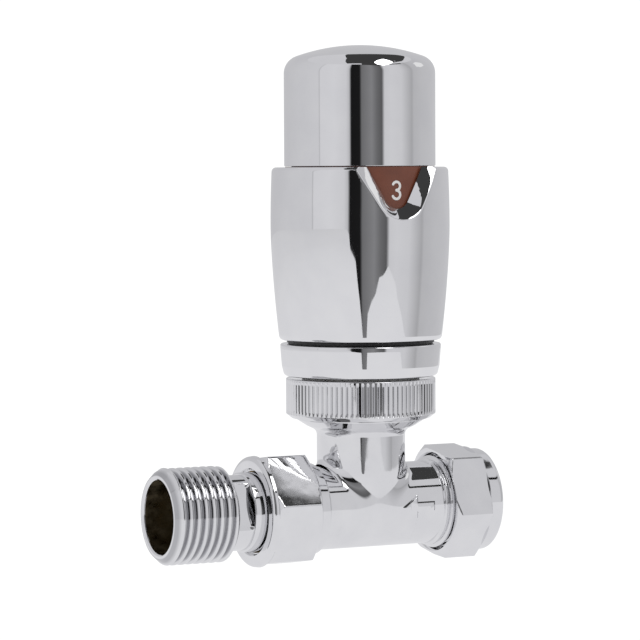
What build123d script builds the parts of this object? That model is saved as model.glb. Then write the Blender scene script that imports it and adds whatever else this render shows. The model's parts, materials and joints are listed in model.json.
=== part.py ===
from build123d import *

import os
from math import cos, radians, sin, sqrt

# Thermostatic radiator valve, straight pattern: 15 mm pipe to 1/2 inch radiator thread.
#
# Frame, in millimetres: the origin is the mouth of the copper pipe's socket, on the pipe axis.
# +X points out of the socket, -X towards the radiator tail, +Z up along the head's axis.
# The setting window faces -Y.

# --- driving dimensions -------------------------------------------------------------------

HEAD_X = -21.2           # head axis, measured along the pipe axis from the socket's mouth

PIPE_BORE_R = 7.55       # socket for a 15 mm copper pipe
SOCKET_DEPTH = 12.2
TUBE_R = 9.2             # outside of the body's horizontal tube
NECK_R = 9.8             # outside of the body's vertical neck
BODY_THREAD_R = 10.32    # male threads that take the two nuts
NUT_BORE_R = 10.4        # the nuts' threads, with running clearance
THREAD_PITCH = 1.814     # 14 threads to the inch
SEAT_SLOPE = 0.5833      # radius gained per millimetre on every olive cone

TAIL_MAJOR_R = 10.4775   # 1/2 inch parallel pipe thread, crest
TAIL_MINOR_R = 9.3
TAIL_TURNS = 8
TAIL_MOUTH_X = -70.5
TAIL_END_X = -34.2       # end of the spigot inside the body
TAIL_MOUTH_R = 8.0
TAIL_WATER_R = 5.0
TAIL_NECK_R = 8.25
TAIL_FLAT = 6.4          # from the axis to each spanner flat
TAIL_FLAT_TILT = 17      # degrees from the horizontal to the flats' normal
SPIGOT_R = 7.5

NUT_FLATS = 23.0         # both nuts, across flats
NUT_TURN = 9.1           # degrees from -Y to the nearest corner, opposite ways on the two nuts

HEAD_THREAD_R = 14.92    # male thread under the knurled ring
FLANGE_R = 14.3
BODY_TOP_Z = 25.6
SEAT_TOP_Z = 3.0         # lip of the valve seat
SEAT_HOLE_R = 3.8
DISC_GAP = 1.55          # disc above its seat at setting 3
SPINDLE_R = 1.8
GUIDE_R = 1.85           # running bores around the spindle

KNURL_R = 16.55
KNURL_COUNT = 90
KNURL_BOTTOM_Z = 19.7
KNURL_TOP_Z = 28.5

BASE_R = 17.77           # base ring at its top edge
BASE_BOTTOM_Z = 29.0
BASE_TOP_Z = 36.1
SLEEVE_BOTTOM_Z = 37.0
SLEEVE_TOP_Z = 75.0
SLEEVE_TOP_R = 19.3
SLEEVE_BELLY_R = 19.78
SLEEVE_FOOT_R = 18.0
BAND_R = 16.5            # number band behind the window
BAND_BOTTOM_Z = 62.3
BAND_TOP_Z = 75.1
CAP_R = 16.7
CAP_BOTTOM_Z = 75.2
CAP_TOP_Z = 101.8
CAP_DOME_R = 42.0
CAP_CORNER_R = 4.0
CAP_WALL = 1.5
DIGIT_HEIGHT = 4.3
DIGIT_Z = 69.9
MARK_RELIEF = 0.12       # height of the printed marks above the band
PEN_WIDTH = 0.55
MARK_STEP = 45           # degrees between neighbouring marks
DIAL_TURN = 1.0          # degrees from -Y towards +X, to the window and the mark in it

HEAD_AXIS = Axis((HEAD_X, 0, 0), (0, 0, 1))
HEAD_PLANE = Plane(origin=(HEAD_X, 0, 0), x_dir=(1, 0, 0), z_dir=(0, -1, 0))
WINDOW_PLANE = HEAD_PLANE.rotated((0, 0, DIAL_TURN))


# --- helpers ------------------------------------------------------------------------------

def head_turn(*points, mode=Mode.ADD):
    """Revolve a closed (radius, height) outline about the head's axis."""
    with BuildSketch(HEAD_PLANE) as profile:
        with BuildLine():
            Polyline(*points, close=True)
        make_face()
    revolve(profile.sketch, axis=HEAD_AXIS, mode=mode)


def pipe_turn(*points, mode=Mode.ADD):
    """Revolve a closed (x, radius) outline about the pipe's axis."""
    with BuildSketch(Plane.XZ) as profile:
        with BuildLine():
            Polyline(*points, close=True)
        make_face()
    revolve(profile.sketch, axis=Axis.X, mode=mode)


def head_tube(bottom, top, outer, inner=0.0, mode=Mode.ADD):
    """A plain ring or cylinder on the head's axis, between two heights."""
    with BuildSketch(Plane.XY.offset(bottom)) as profile:
        with Locations((HEAD_X, 0)):
            Circle(outer)
            if inner:
                Circle(inner, mode=Mode.SUBTRACT)
    extrude(profile.sketch, amount=top - bottom, mode=mode)


def pipe_tube(left, right, outer, inner=0.0, height=0.0, mode=Mode.ADD):
    """A plain ring or cylinder along X, between two X positions."""
    with BuildSketch(Plane.YZ.offset(left)) as profile:
        with Locations((0, height)):
            Circle(outer)
            if inner:
                Circle(inner, mode=Mode.SUBTRACT)
    extrude(profile.sketch, amount=right - left, mode=mode)


def hexagon_along_pipe(left, right, corner_angle, mode=Mode.ADD):
    """A nut's hexagon between two X positions, its corner turned from -Y towards +Z."""
    with BuildSketch(Plane.YZ.offset(left)) as profile:
        RegularPolygon(NUT_FLATS / 2, 6, major_radius=False, rotation=180 - corner_angle)
    extrude(profile.sketch, amount=right - left, mode=mode)


def hexagon_on_head(bottom, top, across_flats, mode=Mode.ADD):
    """A hexagon on the head's axis, between two heights."""
    with BuildSketch(Plane.XY.offset(bottom)) as profile:
        with Locations((HEAD_X, 0)):
            RegularPolygon(across_flats / 2, 6, major_radius=False)
    extrude(profile.sketch, amount=top - bottom, mode=mode)


def coil(bottom, top, radius, wire, pitch):
    """A helical spring on the head's axis whose wire stays between two heights."""
    rise = top - bottom - 2 * wire
    with BuildLine() as path:
        Helix(pitch=pitch, height=rise, radius=radius, center=(HEAD_X, 0, bottom + wire))
    with BuildSketch(Plane(origin=path.line @ 0, z_dir=path.line % 0)) as section:
        Circle(wire)
    sweep(section.sketch, path=path.line, is_frenet=True)


def pen_line(mark):
    """The pen's path for one mark of the dial, centred on the origin."""
    half = DIGIT_HEIGHT / 2 - PEN_WIDTH / 2
    bowl = half / 2
    with BuildLine() as pen:
        if mark == "0":
            CenterArc((0, half - 1.2), 1.2, 0, 180)
            Line((-1.2, half - 1.2), (-1.2, 1.2 - half))
            CenterArc((0, 1.2 - half), 1.2, 180, 180)
            Line((1.2, 1.2 - half), (1.2, half - 1.2))
        elif mark == "*":
            for angle in (30, 90, 150):
                PolarLine((0, 0.6), 1.2, angle)
                PolarLine((0, 0.6), 1.2, angle + 180)
        elif mark == "1":
            Polyline((-0.8, half - 0.8), (0.2, half), (0.2, -half))
        elif mark == "2":
            CenterArc((0, half - 1.15), 1.15, 170, -190)
            Polyline((1.13, half - 1.35), (-1.2, -half), (1.25, -half))
        elif mark == "3":
            CenterArc((0, bowl), bowl, 160, -250)
            CenterArc((0, -bowl), bowl, 90, -250)
        elif mark == "4":
            Polyline((0.5, -half), (0.5, half), (-1.4, -0.8), (1.3, -0.8))
        else:
            Polyline((1.1, half), (-0.9, half), (-1.0, 0.25))
            CenterArc((-0.1, -half + 1.2), 1.2, 130, -290)
    return pen.line


def raised_mark(mark, turn):
    """One mark of the dial, standing a little proud of the number band at an angle about +Z."""
    sideways = (-sin(turn), cos(turn), 0)
    outward = (cos(turn), sin(turn), 0)
    plane = Plane(origin=(HEAD_X, 0, DIGIT_Z), x_dir=sideways, z_dir=outward)
    with BuildPart() as raised:
        with BuildSketch(plane.offset(BAND_R - 3)) as glyph:
            for stroke in pen_line(mark).edges():
                trace(stroke, line_width=PEN_WIDTH)
        extrude(glyph.sketch, amount=4)
        head_tube(DIGIT_Z - 4, DIGIT_Z + 4, BAND_R + MARK_RELIEF, mode=Mode.INTERSECT)
        head_tube(DIGIT_Z - 5, DIGIT_Z + 5, BAND_R + 0.01, mode=Mode.SUBTRACT)
    return raised.part


def domed(radius, bottom, top, dome, corner, mode=Mode.ADD):
    """A cylinder on the head's axis with a shallow spherical top and a rounded corner."""
    drop = dome - sqrt(dome**2 - radius**2)
    with BuildSketch(HEAD_PLANE) as profile:
        with BuildLine():
            Polyline((0, top), (0, bottom), (radius, bottom), (radius, top - drop))
            RadiusArc((radius, top - drop), (0, top), -dome)
        make_face()
        shoulder = profile.vertices().sort_by(lambda vertex: vertex.X + vertex.Y)[-1]
        fillet(shoulder, corner)
    revolve(profile.sketch, axis=HEAD_AXIS, mode=mode)


def save(builder, name):
    """Label a finished piece and write its STEP file."""
    builder.part.label = name
    export_step(builder.part, f"parts/{name}.step")


os.makedirs("parts", exist_ok=True)

# --- valve body ---------------------------------------------------------------------------

BODY_LEFT = -41.4
BODY_RIGHT = 3.4
LEFT_SHOULDER_X = -35.9  # the union nut stops short of this ring
LEFT_STOP_X = -33.8      # bottom of the tail's socket
LEFT_SOCKET_R = 7.6
LEFT_SEAT_R = 9.45
LEFT_SEAT_X = BODY_LEFT + (LEFT_SEAT_R - LEFT_SOCKET_R) / SEAT_SLOPE
RIGHT_SEAT_R = 8.95
RIGHT_SEAT_X = (RIGHT_SEAT_R - PIPE_BORE_R) / SEAT_SLOPE
CHAMBER_R = 7.0
CHAMBER_FLOOR_Z = 2.2
INLET_R = 4.0            # the two halves of the waterway, below and above the seat
INLET_Z = -2.9
OUTLET_R = 3.6
OUTLET_Z = 3.8
INSERT_BOTTOM_Z = 12.1
INSERT_FLANGE_Z = 21.0
INSERT_BORE_R = 8.1

with BuildPart() as valve_body:
    # flow arrow, pointing at the radiator, standing a little proud of the tube
    with BuildSketch(Plane.XZ.offset(TUBE_R - 1.0)):
        with BuildLine():
            Polyline(
                (-15.5, 0), (-11.9, 2.5), (-11.9, 1.0), (-7.7, 1.0),
                (-7.7, -1.0), (-11.9, -1.0), (-11.9, -2.5), close=True,
            )
        make_face()
    extrude(amount=2)
    pipe_tube(-20, -5, TUBE_R + 0.35, mode=Mode.INTERSECT)

    # horizontal tube with its two threaded ends
    pipe_turn(
        (BODY_LEFT, 0), (BODY_LEFT, 9.9), (BODY_LEFT + 0.4, BODY_THREAD_R),
        (LEFT_SHOULDER_X, BODY_THREAD_R), (LEFT_SHOULDER_X, 10.0), (-33.9, 10.0), (-33.3, TUBE_R),
        (-5.2, TUBE_R), (-4.9, 9.6), (-4.5, 9.8), (-4.1, 9.6), (-3.9, 9.5), (-3.6, BODY_THREAD_R),
        (BODY_RIGHT - 0.4, BODY_THREAD_R), (BODY_RIGHT, 9.9), (BODY_RIGHT, 0),
    )

    # neck, flange and the thread for the knurled ring
    head_turn(
        (0, 0), (TUBE_R - 0.1, 0), (NECK_R, 8.0), (NECK_R, 15.6), (9.95, 16.4), (10.5, 17.2), (12.1, 18.0),
        (14.0, 19.2), (FLANGE_R, 19.4), (FLANGE_R, 19.8), (14.0, 20.0),
        (HEAD_THREAD_R, 20.5), (HEAD_THREAD_R, BODY_TOP_Z - 0.5), (14.4, BODY_TOP_Z), (0, BODY_TOP_Z),
    )

    # socket for the pipe, with the olive's seat
    pipe_turn(
        (-SOCKET_DEPTH, 0), (-SOCKET_DEPTH, PIPE_BORE_R), (0, PIPE_BORE_R),
        (RIGHT_SEAT_X, RIGHT_SEAT_R), (BODY_RIGHT, RIGHT_SEAT_R), (BODY_RIGHT, 0),
        mode=Mode.SUBTRACT,
    )
    # socket for the tail's spigot, with its olive's seat
    pipe_turn(
        (BODY_LEFT, 0), (BODY_LEFT, LEFT_SEAT_R), (LEFT_SEAT_X, LEFT_SOCKET_R),
        (LEFT_STOP_X, LEFT_SOCKET_R), (LEFT_STOP_X, 0),
        mode=Mode.SUBTRACT,
    )

    # insert bore and chamber above the seat
    head_tube(CHAMBER_FLOOR_Z, INSERT_BOTTOM_Z - 0.1, CHAMBER_R, mode=Mode.SUBTRACT)
    head_tube(INSERT_BOTTOM_Z - 0.1, INSERT_FLANGE_Z, INSERT_BORE_R, mode=Mode.SUBTRACT)
    head_tube(INSERT_FLANGE_Z, BODY_TOP_Z, 11.2, mode=Mode.SUBTRACT)
    # raised lip of the seat, then the waterway: in below the seat, out above it
    head_tube(CHAMBER_FLOOR_Z - 0.5, SEAT_TOP_Z, 5.0)
    pipe_tube(-25.6, -SOCKET_DEPTH, INLET_R, height=INLET_Z, mode=Mode.SUBTRACT)
    head_tube(INLET_Z, SEAT_TOP_Z, SEAT_HOLE_R, mode=Mode.SUBTRACT)
    pipe_tube(LEFT_STOP_X, -27.4, OUTLET_R, height=OUTLET_Z, mode=Mode.SUBTRACT)

save(valve_body, "valve_body")

# --- pipe side: olive and compression nut ---------------------------------------------------

PIPE_NUT_LEFT = -3.4
PIPE_NUT_HEX_END = 5.3
PIPE_NUT_RIGHT = 9.0
PIPE_NUT_COLLAR_R = 11.4
OLIVE_BORE_R = 7.6
NUT_EXIT_R = 7.7
HEX_CORNER_R = NUT_FLATS / sqrt(3)

with BuildPart() as pipe_olive:
    pipe_turn(
        (0.8, OLIVE_BORE_R), (0.8, 7.95), (2.15, 8.75), (5.05, 8.75),
        (6.4, 7.95), (6.4, OLIVE_BORE_R),
    )

save(pipe_olive, "pipe_olive")

with BuildPart() as compression_nut:
    hexagon_along_pipe(PIPE_NUT_LEFT, PIPE_NUT_HEX_END, -NUT_TURN)
    # chamfered ends of the hexagon, and the turned collar with its rounded edge
    pipe_turn(
        (PIPE_NUT_LEFT, 0), (PIPE_NUT_LEFT, 12.2), (PIPE_NUT_LEFT + 0.8, HEX_CORNER_R + 0.1),
        (PIPE_NUT_HEX_END - 0.5, HEX_CORNER_R + 0.1), (PIPE_NUT_HEX_END, 12.6),
        (PIPE_NUT_HEX_END, 0), mode=Mode.INTERSECT,
    )
    pipe_turn(
        (PIPE_NUT_HEX_END - 1, 0), (PIPE_NUT_HEX_END - 1, PIPE_NUT_COLLAR_R),
        (PIPE_NUT_RIGHT - 1.0, PIPE_NUT_COLLAR_R),
        (PIPE_NUT_RIGHT - 0.3, 11.1), (PIPE_NUT_RIGHT, 10.4), (PIPE_NUT_RIGHT, 0),
    )
    # threaded bore, the cone that squeezes the olive, and the pipe's way out
    pipe_turn(
        (PIPE_NUT_LEFT, 0), (PIPE_NUT_LEFT, 11.1), (PIPE_NUT_LEFT + 0.7, NUT_BORE_R),
        (4.75, NUT_BORE_R), (4.75, 8.98), (6.95, NUT_EXIT_R),
        (PIPE_NUT_RIGHT - 0.5, NUT_EXIT_R), (PIPE_NUT_RIGHT, 8.2), (PIPE_NUT_RIGHT, 0),
        mode=Mode.SUBTRACT,
    )

save(compression_nut, "compression_nut")

# --- radiator side: tail, its olive and the union nut ---------------------------------------

UNION_LEFT = -48.6
UNION_RIGHT = -36.2
UNION_HEX_START = -47.1
UNION_COLLAR_R = 12.1
UNION_RECESS_R = 9.3
UNION_LIP_R = 8.95
TAIL_NECK_START = -55.5
TAIL_NECK_END = -51.2
SHOULDER_R = 8.7
SHOULDER_END_X = -44.7
FIRST_CREST_X = TAIL_MOUTH_X + 1.2
CREST_WIDTH = 0.45

crest_outline = []
for turn in range(TAIL_TURNS):
    start = FIRST_CREST_X + turn * THREAD_PITCH
    crest_outline.append((start, TAIL_MAJOR_R))
    crest_outline.append((start + CREST_WIDTH, TAIL_MAJOR_R))
    if turn < TAIL_TURNS - 1:
        crest_outline.append((start + 0.97, TAIL_MINOR_R))
        crest_outline.append((start + 1.29, TAIL_MINOR_R))

with BuildPart() as radiator_tail:
    pipe_turn(
        (TAIL_MOUTH_X, 0), (TAIL_MOUTH_X, 9.1), (TAIL_MOUTH_X + 0.3, 9.35),
        *crest_outline,
        (TAIL_NECK_START, TAIL_NECK_R), (TAIL_NECK_END, TAIL_NECK_R), (TAIL_NECK_END, SHOULDER_R - 0.2),
        (TAIL_NECK_END + 0.2, SHOULDER_R), (SHOULDER_END_X, SHOULDER_R), (SHOULDER_END_X, SPIGOT_R),
        (TAIL_END_X - 0.4, SPIGOT_R), (TAIL_END_X, 7.1), (TAIL_END_X, 0),
    )
    # two spanner flats on the neck
    with BuildSketch(Plane.YZ.offset(TAIL_NECK_START)) as flats:
        with PolarLocations(TAIL_FLAT + 2, 2, start_angle=180 - TAIL_FLAT_TILT):
            Rectangle(4, 20)
    extrude(flats.sketch, amount=TAIL_NECK_END - TAIL_NECK_START, mode=Mode.SUBTRACT)
    # waterway: wide mouth, a drill point, then the narrow bore through the spigot
    pipe_turn(
        (TAIL_MOUTH_X, 0), (TAIL_MOUTH_X, 8.3), (TAIL_MOUTH_X + 0.3, TAIL_MOUTH_R),
        (-59.8, TAIL_MOUTH_R), (-58.0, TAIL_WATER_R), (TAIL_END_X, TAIL_WATER_R), (TAIL_END_X, 0),
        mode=Mode.SUBTRACT,
    )

save(radiator_tail, "radiator_tail")

with BuildPart() as tail_olive:
    pipe_turn(
        (-44.5, OLIVE_BORE_R), (-44.5, 9.15), (-44.05, 9.6), (-41.8, 9.6),
        (-39.4, 8.2), (-39.4, OLIVE_BORE_R),
    )

save(tail_olive, "tail_olive")

with BuildPart() as union_nut:
    hexagon_along_pipe(UNION_HEX_START, UNION_RIGHT, NUT_TURN)
    pipe_turn(
        (UNION_HEX_START, 0), (UNION_HEX_START, 12.4), (UNION_HEX_START + 0.7, HEX_CORNER_R + 0.1),
        (UNION_RIGHT - 1.25, HEX_CORNER_R + 0.1), (UNION_RIGHT, 11.05), (UNION_RIGHT, 0),
        mode=Mode.INTERSECT,
    )
    pipe_turn(
        (UNION_LEFT, 0), (UNION_LEFT, UNION_COLLAR_R - 1.0), (UNION_LEFT + 0.3, UNION_COLLAR_R - 0.4),
        (UNION_LEFT + 0.9, UNION_COLLAR_R), (UNION_HEX_START + 1, UNION_COLLAR_R), (UNION_HEX_START + 1, 0),
    )
    # recess, lip that holds the olive, cone and threaded bore
    pipe_turn(
        (UNION_LEFT, 0), (UNION_LEFT, UNION_RECESS_R + 0.3), (UNION_LEFT + 0.3, UNION_RECESS_R),
        (UNION_LEFT + 1.0, UNION_RECESS_R), (UNION_LEFT + 1.0, UNION_LIP_R),
        (SHOULDER_END_X - 0.1, UNION_LIP_R), (-43.35, NUT_BORE_R),
        (UNION_RIGHT, NUT_BORE_R), (UNION_RIGHT, 0), mode=Mode.SUBTRACT,
    )

save(union_nut, "union_nut")

# --- valve insert: body, seals, spring ------------------------------------------------------

COLLAR_BOTTOM_Z = 17.9
SPRING_SEAT_TOP_Z = 13.3

with BuildPart() as insert_body:
    head_tube(INSERT_BOTTOM_Z, INSERT_FLANGE_Z + 0.05, INSERT_BORE_R - 0.05)
    hexagon_on_head(INSERT_FLANGE_Z + 0.05, 25.0, 18)
    head_tube(25.0, 28.6, 6.0)
    head_tube(19.5, 20.7, INSERT_BORE_R, 6.9, mode=Mode.SUBTRACT)
    head_tube(INSERT_BOTTOM_Z, 22.6, 5.2, mode=Mode.SUBTRACT)
    head_tube(22.6, 25.2, GUIDE_R, mode=Mode.SUBTRACT)
    head_tube(25.2, 28.6, 4.0, mode=Mode.SUBTRACT)

save(insert_body, "insert_body")

with BuildPart() as insert_seal:
    head_tube(19.55, 20.65, INSERT_BORE_R - 0.02, 6.93)
    fillet(insert_seal.edges(), 0.3)

save(insert_seal, "insert_seal")

with BuildPart() as spring_seat:
    head_tube(INSERT_BOTTOM_Z + 0.1, SPRING_SEAT_TOP_Z, 5.17, 2.3)

save(spring_seat, "spring_seat")

with BuildPart() as return_spring:
    coil(SPRING_SEAT_TOP_Z + 0.05, COLLAR_BOTTOM_Z - 0.05, 3.7, 0.35, 1.1)

save(return_spring, "return_spring")

with BuildPart() as gland_seal:
    head_tube(25.25, 27.0, 3.97, GUIDE_R)
    fillet(gland_seal.edges(), 0.4)

save(gland_seal, "gland_seal")

with BuildPart() as gland_nut:
    head_tube(27.1, 28.7, 3.97)
    hexagon_on_head(28.65, 31.0, 10)
    head_tube(27.1, 31.0, GUIDE_R, mode=Mode.SUBTRACT)

save(gland_nut, "gland_nut")

# --- spindle, disc and their fixings --------------------------------------------------------

DISC_BOTTOM_Z = SEAT_TOP_Z + DISC_GAP
HOLDER_BOTTOM_Z = DISC_BOTTOM_Z + 2.0
HOLDER_TOP_Z = HOLDER_BOTTOM_Z + 1.45
SPINDLE_FOOT_Z = 3.1
SPINDLE_TIP_Z = 33.0

with BuildPart() as valve_spindle:
    head_turn(
        (0, SPINDLE_FOOT_Z), (1.5, SPINDLE_FOOT_Z), (1.5, HOLDER_BOTTOM_Z + 0.4),
        (SPINDLE_R, HOLDER_BOTTOM_Z + 0.4), (SPINDLE_R, SPINDLE_TIP_Z - 0.5),
        (1.4, SPINDLE_TIP_Z - 0.1), (0.7, SPINDLE_TIP_Z), (0, SPINDLE_TIP_Z),
    )

save(valve_spindle, "valve_spindle")

with BuildPart() as spindle_collar:
    head_tube(COLLAR_BOTTOM_Z, COLLAR_BOTTOM_Z + 1.0, 4.9, SPINDLE_R)

save(spindle_collar, "spindle_collar")

with BuildPart() as disc_holder:
    head_turn(
        (1.5, HOLDER_BOTTOM_Z), (6.3, HOLDER_BOTTOM_Z), (6.3, HOLDER_BOTTOM_Z + 0.9),
        (4.0, HOLDER_TOP_Z), (SPINDLE_R, HOLDER_TOP_Z), (SPINDLE_R, HOLDER_BOTTOM_Z + 0.4),
        (1.5, HOLDER_BOTTOM_Z + 0.4),
    )

save(disc_holder, "disc_holder")

with BuildPart() as disc_seal:
    head_tube(DISC_BOTTOM_Z, HOLDER_BOTTOM_Z, 5.9, 1.5)

save(disc_seal, "disc_seal")

with BuildPart() as disc_nut:
    hexagon_on_head(DISC_BOTTOM_Z - 1.2, DISC_BOTTOM_Z, 4.5)
    head_tube(DISC_BOTTOM_Z - 1.2, DISC_BOTTOM_Z, 1.5, mode=Mode.SUBTRACT)

save(disc_nut, "disc_nut")

# --- head: knurled ring and base ------------------------------------------------------------

RING_LIP_Z = 27.35
HUB_R = 13.0
HUB_BORE_R = 8.5
PLATE_Z = 29.9
PLATE_TOP_Z = 32.0
PLATE_R = 16.05

with BuildPart() as knurled_ring:
    head_turn(
        (15.0, KNURL_BOTTOM_Z), (15.4, KNURL_BOTTOM_Z), (16.15, KNURL_BOTTOM_Z + 0.9),
        (16.15, KNURL_TOP_Z - 0.1), (15.9, KNURL_TOP_Z), (HUB_R + 0.1, KNURL_TOP_Z),
        (HUB_R + 0.1, RING_LIP_Z), (15.0, RING_LIP_Z),
    )
    with BuildSketch(Plane.XY.offset(KNURL_BOTTOM_Z + 0.85)) as knurl:
        with Locations((HEAD_X, 0)):
            Circle(KNURL_R)
            Circle(16.0, mode=Mode.SUBTRACT)
            with PolarLocations(KNURL_R, KNURL_COUNT):
                Rectangle(0.8, 0.45, mode=Mode.SUBTRACT)
    extrude(knurl.sketch, amount=KNURL_TOP_Z - 0.35 - KNURL_BOTTOM_Z - 0.85)

save(knurled_ring, "knurled_ring")

with BuildPart() as head_base:
    head_tube(BODY_TOP_Z + 0.1, PLATE_Z, HUB_R)
    head_tube(25.95, 27.3, HUB_R, 11.6, mode=Mode.SUBTRACT)
    head_tube(PLATE_Z, PLATE_TOP_Z, PLATE_R)
    head_tube(PLATE_TOP_Z, 35.0, 11.8)
    head_tube(BODY_TOP_Z + 0.1, 35.0, HUB_BORE_R, mode=Mode.SUBTRACT)

save(head_base, "head_base")

with BuildPart() as retaining_ring:
    head_tube(26.0, 27.25, 14.6, 11.65)
    with BuildSketch(Plane.XY.offset(26.0)) as ring_gap:
        with Locations((HEAD_X, 13)):
            Rectangle(4, 6)
    extrude(ring_gap.sketch, amount=1.25, mode=Mode.SUBTRACT)

save(retaining_ring, "retaining_ring")

with BuildPart() as base_ring:
    with BuildSketch(HEAD_PLANE) as base_profile:
        with BuildLine():
            Polyline(
                (HUB_R + 0.05, BASE_BOTTOM_Z), (16.4, BASE_BOTTOM_Z), (17.0, BASE_BOTTOM_Z + 0.4),
                (17.33, BASE_BOTTOM_Z + 1.4), (17.52, 32.2), (17.67, 33.9), (BASE_R, 35.6),
                (17.5, BASE_TOP_Z), (PLATE_R + 0.05, BASE_TOP_Z), (PLATE_R + 0.05, PLATE_Z - 0.05),
                (HUB_R + 0.05, PLATE_Z - 0.05), close=True,
            )
        make_face()
    revolve(base_profile.sketch, axis=HEAD_AXIS)

save(base_ring, "base_ring")

# --- head: core, number band, cap -----------------------------------------------------------

CORE_R = 13.6
CORE_BORE_R = 11.9
DRUM_R = 15.45
DRUM_BORE_R = 13.4
CORE_FLANGE_Z = 60.9
SLOT_BOTTOM_Z = 40.5
SLOT_TOP_Z = 54.5
SLOT_WIDTH = 5.3
LUG_COUNT = 3

with BuildPart() as head_core:
    head_turn(
        (CORE_BORE_R, PLATE_TOP_Z + 0.05), (CORE_R, PLATE_TOP_Z + 0.05), (CORE_R, CORE_FLANGE_Z),
        (16.4, CORE_FLANGE_Z), (16.4, BAND_BOTTOM_Z - 0.1), (DRUM_R, BAND_BOTTOM_Z - 0.1),
        (DRUM_R, BAND_TOP_Z), (15.1, BAND_TOP_Z), (15.1, 80.0), (DRUM_BORE_R, 80.0),
        (DRUM_BORE_R, BAND_BOTTOM_Z), (CORE_BORE_R, BAND_BOTTOM_Z),
    )
    with BuildSketch(Plane.XY.offset(SLOT_BOTTOM_Z)) as slots:
        with Locations((HEAD_X, 0)):
            with PolarLocations(CORE_R - 0.8, LUG_COUNT):
                Rectangle(4, SLOT_WIDTH)
    extrude(slots.sketch, amount=SLOT_TOP_Z - SLOT_BOTTOM_Z, mode=Mode.SUBTRACT)

save(head_core, "head_core")

with BuildPart() as number_band:
    head_tube(BAND_BOTTOM_Z, BAND_TOP_Z, BAND_R, DRUM_R + 0.02)

save(number_band, "number_band")

MARKS = ["0", "*", "1", "2", "3", "4", "5"]
FRONT_MARK = MARKS.index("3")

with BuildPart() as numerals:
    for index, mark in enumerate(MARKS):
        turn = radians(-90 + DIAL_TURN + (index - FRONT_MARK) * MARK_STEP)
        add(raised_mark(mark, turn))

save(numerals, "numerals")

with BuildPart() as top_cap:
    domed(CAP_R, CAP_BOTTOM_Z, CAP_TOP_Z, CAP_DOME_R, CAP_CORNER_R)
    domed(
        CAP_R - CAP_WALL, CAP_BOTTOM_Z, CAP_TOP_Z - CAP_WALL, CAP_DOME_R, CAP_CORNER_R - CAP_WALL,
        mode=Mode.SUBTRACT,
    )

save(top_cap, "top_cap")

# --- head: setting sleeve and its threaded liner --------------------------------------------

SLEEVE_BORE_R = 17.0     # above the liner
SLEEVE_STEP_Z = 60.7
SLEEVE_BELLY_Z = 62.0
LINER_R = 16.3
LINER_BORE_R = 14.2
LINER_FIT = 0.05

WINDOW_TOP_Z = 76.0      # the cutter passes the sleeve's top edge
WINDOW_OUTER_Y = 20.5    # distances of the cutter's two ends in front of the head's axis
WINDOW_INNER_Y = 15.0


def window_end(distance, half_top, half_point, point_z):
    """One end of the tapered V cutter, at a distance in front of the head's axis."""
    facing = WINDOW_PLANE.offset(distance)
    with BuildSketch(facing) as end:
        with BuildLine():
            Polyline(
                (-half_top, WINDOW_TOP_Z), (-half_point, point_z), (half_point, point_z),
                (half_top, WINDOW_TOP_Z), close=True,
            )
        make_face()
    return end.sketch


with BuildPart() as setting_sleeve:
    with BuildSketch(HEAD_PLANE) as sleeve_profile:
        with BuildLine():
            foot = (SLEEVE_FOOT_R, SLEEVE_BOTTOM_Z + 0.4)
            belly = (SLEEVE_BELLY_R, SLEEVE_BELLY_Z)
            brow = (19.5, 73.4)
            crown = (18.3, SLEEVE_TOP_Z)
            Polyline((LINER_R + LINER_FIT, SLEEVE_BOTTOM_Z), (SLEEVE_FOOT_R - 0.4, SLEEVE_BOTTOM_Z), foot)
            ThreePointArc(foot, (19.1, 49.0), belly)
            ThreePointArc(belly, (19.72, 67.6), brow)
            ThreePointArc(brow, (19.2, 74.55), crown)
            Polyline(
                crown, (SLEEVE_BORE_R, SLEEVE_TOP_Z), (SLEEVE_BORE_R, SLEEVE_STEP_Z),
                (LINER_R + LINER_FIT, SLEEVE_STEP_Z), (LINER_R + LINER_FIT, SLEEVE_BOTTOM_Z),
            )
        make_face()
    revolve(sleeve_profile.sketch, axis=HEAD_AXIS)
    # V window: wide and deep on the outside, narrow at the number band
    wide_end = window_end(WINDOW_OUTER_Y, 20.0, 2.6, 62.6)
    narrow_end = window_end(WINDOW_INNER_Y, 5.4, 1.5, 68.6)
    loft([wide_end, narrow_end], mode=Mode.SUBTRACT)

save(setting_sleeve, "setting_sleeve")

with BuildPart() as sleeve_liner:
    head_turn(
        (LINER_BORE_R, PLATE_TOP_Z + 0.15), (15.85, PLATE_TOP_Z + 0.15), (15.85, BASE_TOP_Z + 0.3),
        (LINER_R, BASE_TOP_Z + 0.3), (LINER_R, SLEEVE_STEP_Z), (LINER_BORE_R, SLEEVE_STEP_Z),
    )

save(sleeve_liner, "sleeve_liner")

# --- head: sensor and thrust parts ----------------------------------------------------------

CARRIER_BOTTOM_Z = 44.0
CARRIER_TOP_Z = 50.0
CUP_R = 7.0
CAPSULE_R = 10.8
CAPSULE_TOP_Z = 78.0

with BuildPart() as sensor_carrier:
    head_tube(CARRIER_BOTTOM_Z, CARRIER_TOP_Z, CORE_BORE_R - 0.15)
    with BuildSketch(Plane.XY.offset(CARRIER_BOTTOM_Z)) as lugs:
        with Locations((HEAD_X, 0)):
            with PolarLocations(CORE_BORE_R, LUG_COUNT):
                Rectangle(4, SLOT_WIDTH - 0.3)
    extrude(lugs.sketch, amount=CARRIER_TOP_Z - CARRIER_BOTTOM_Z)
    head_tube(CARRIER_BOTTOM_Z, CARRIER_TOP_Z, LINER_BORE_R - 0.15, mode=Mode.INTERSECT)
    head_tube(CARRIER_BOTTOM_Z, CARRIER_TOP_Z, CUP_R + 0.4, mode=Mode.SUBTRACT)

save(sensor_carrier, "sensor_carrier")

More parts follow.
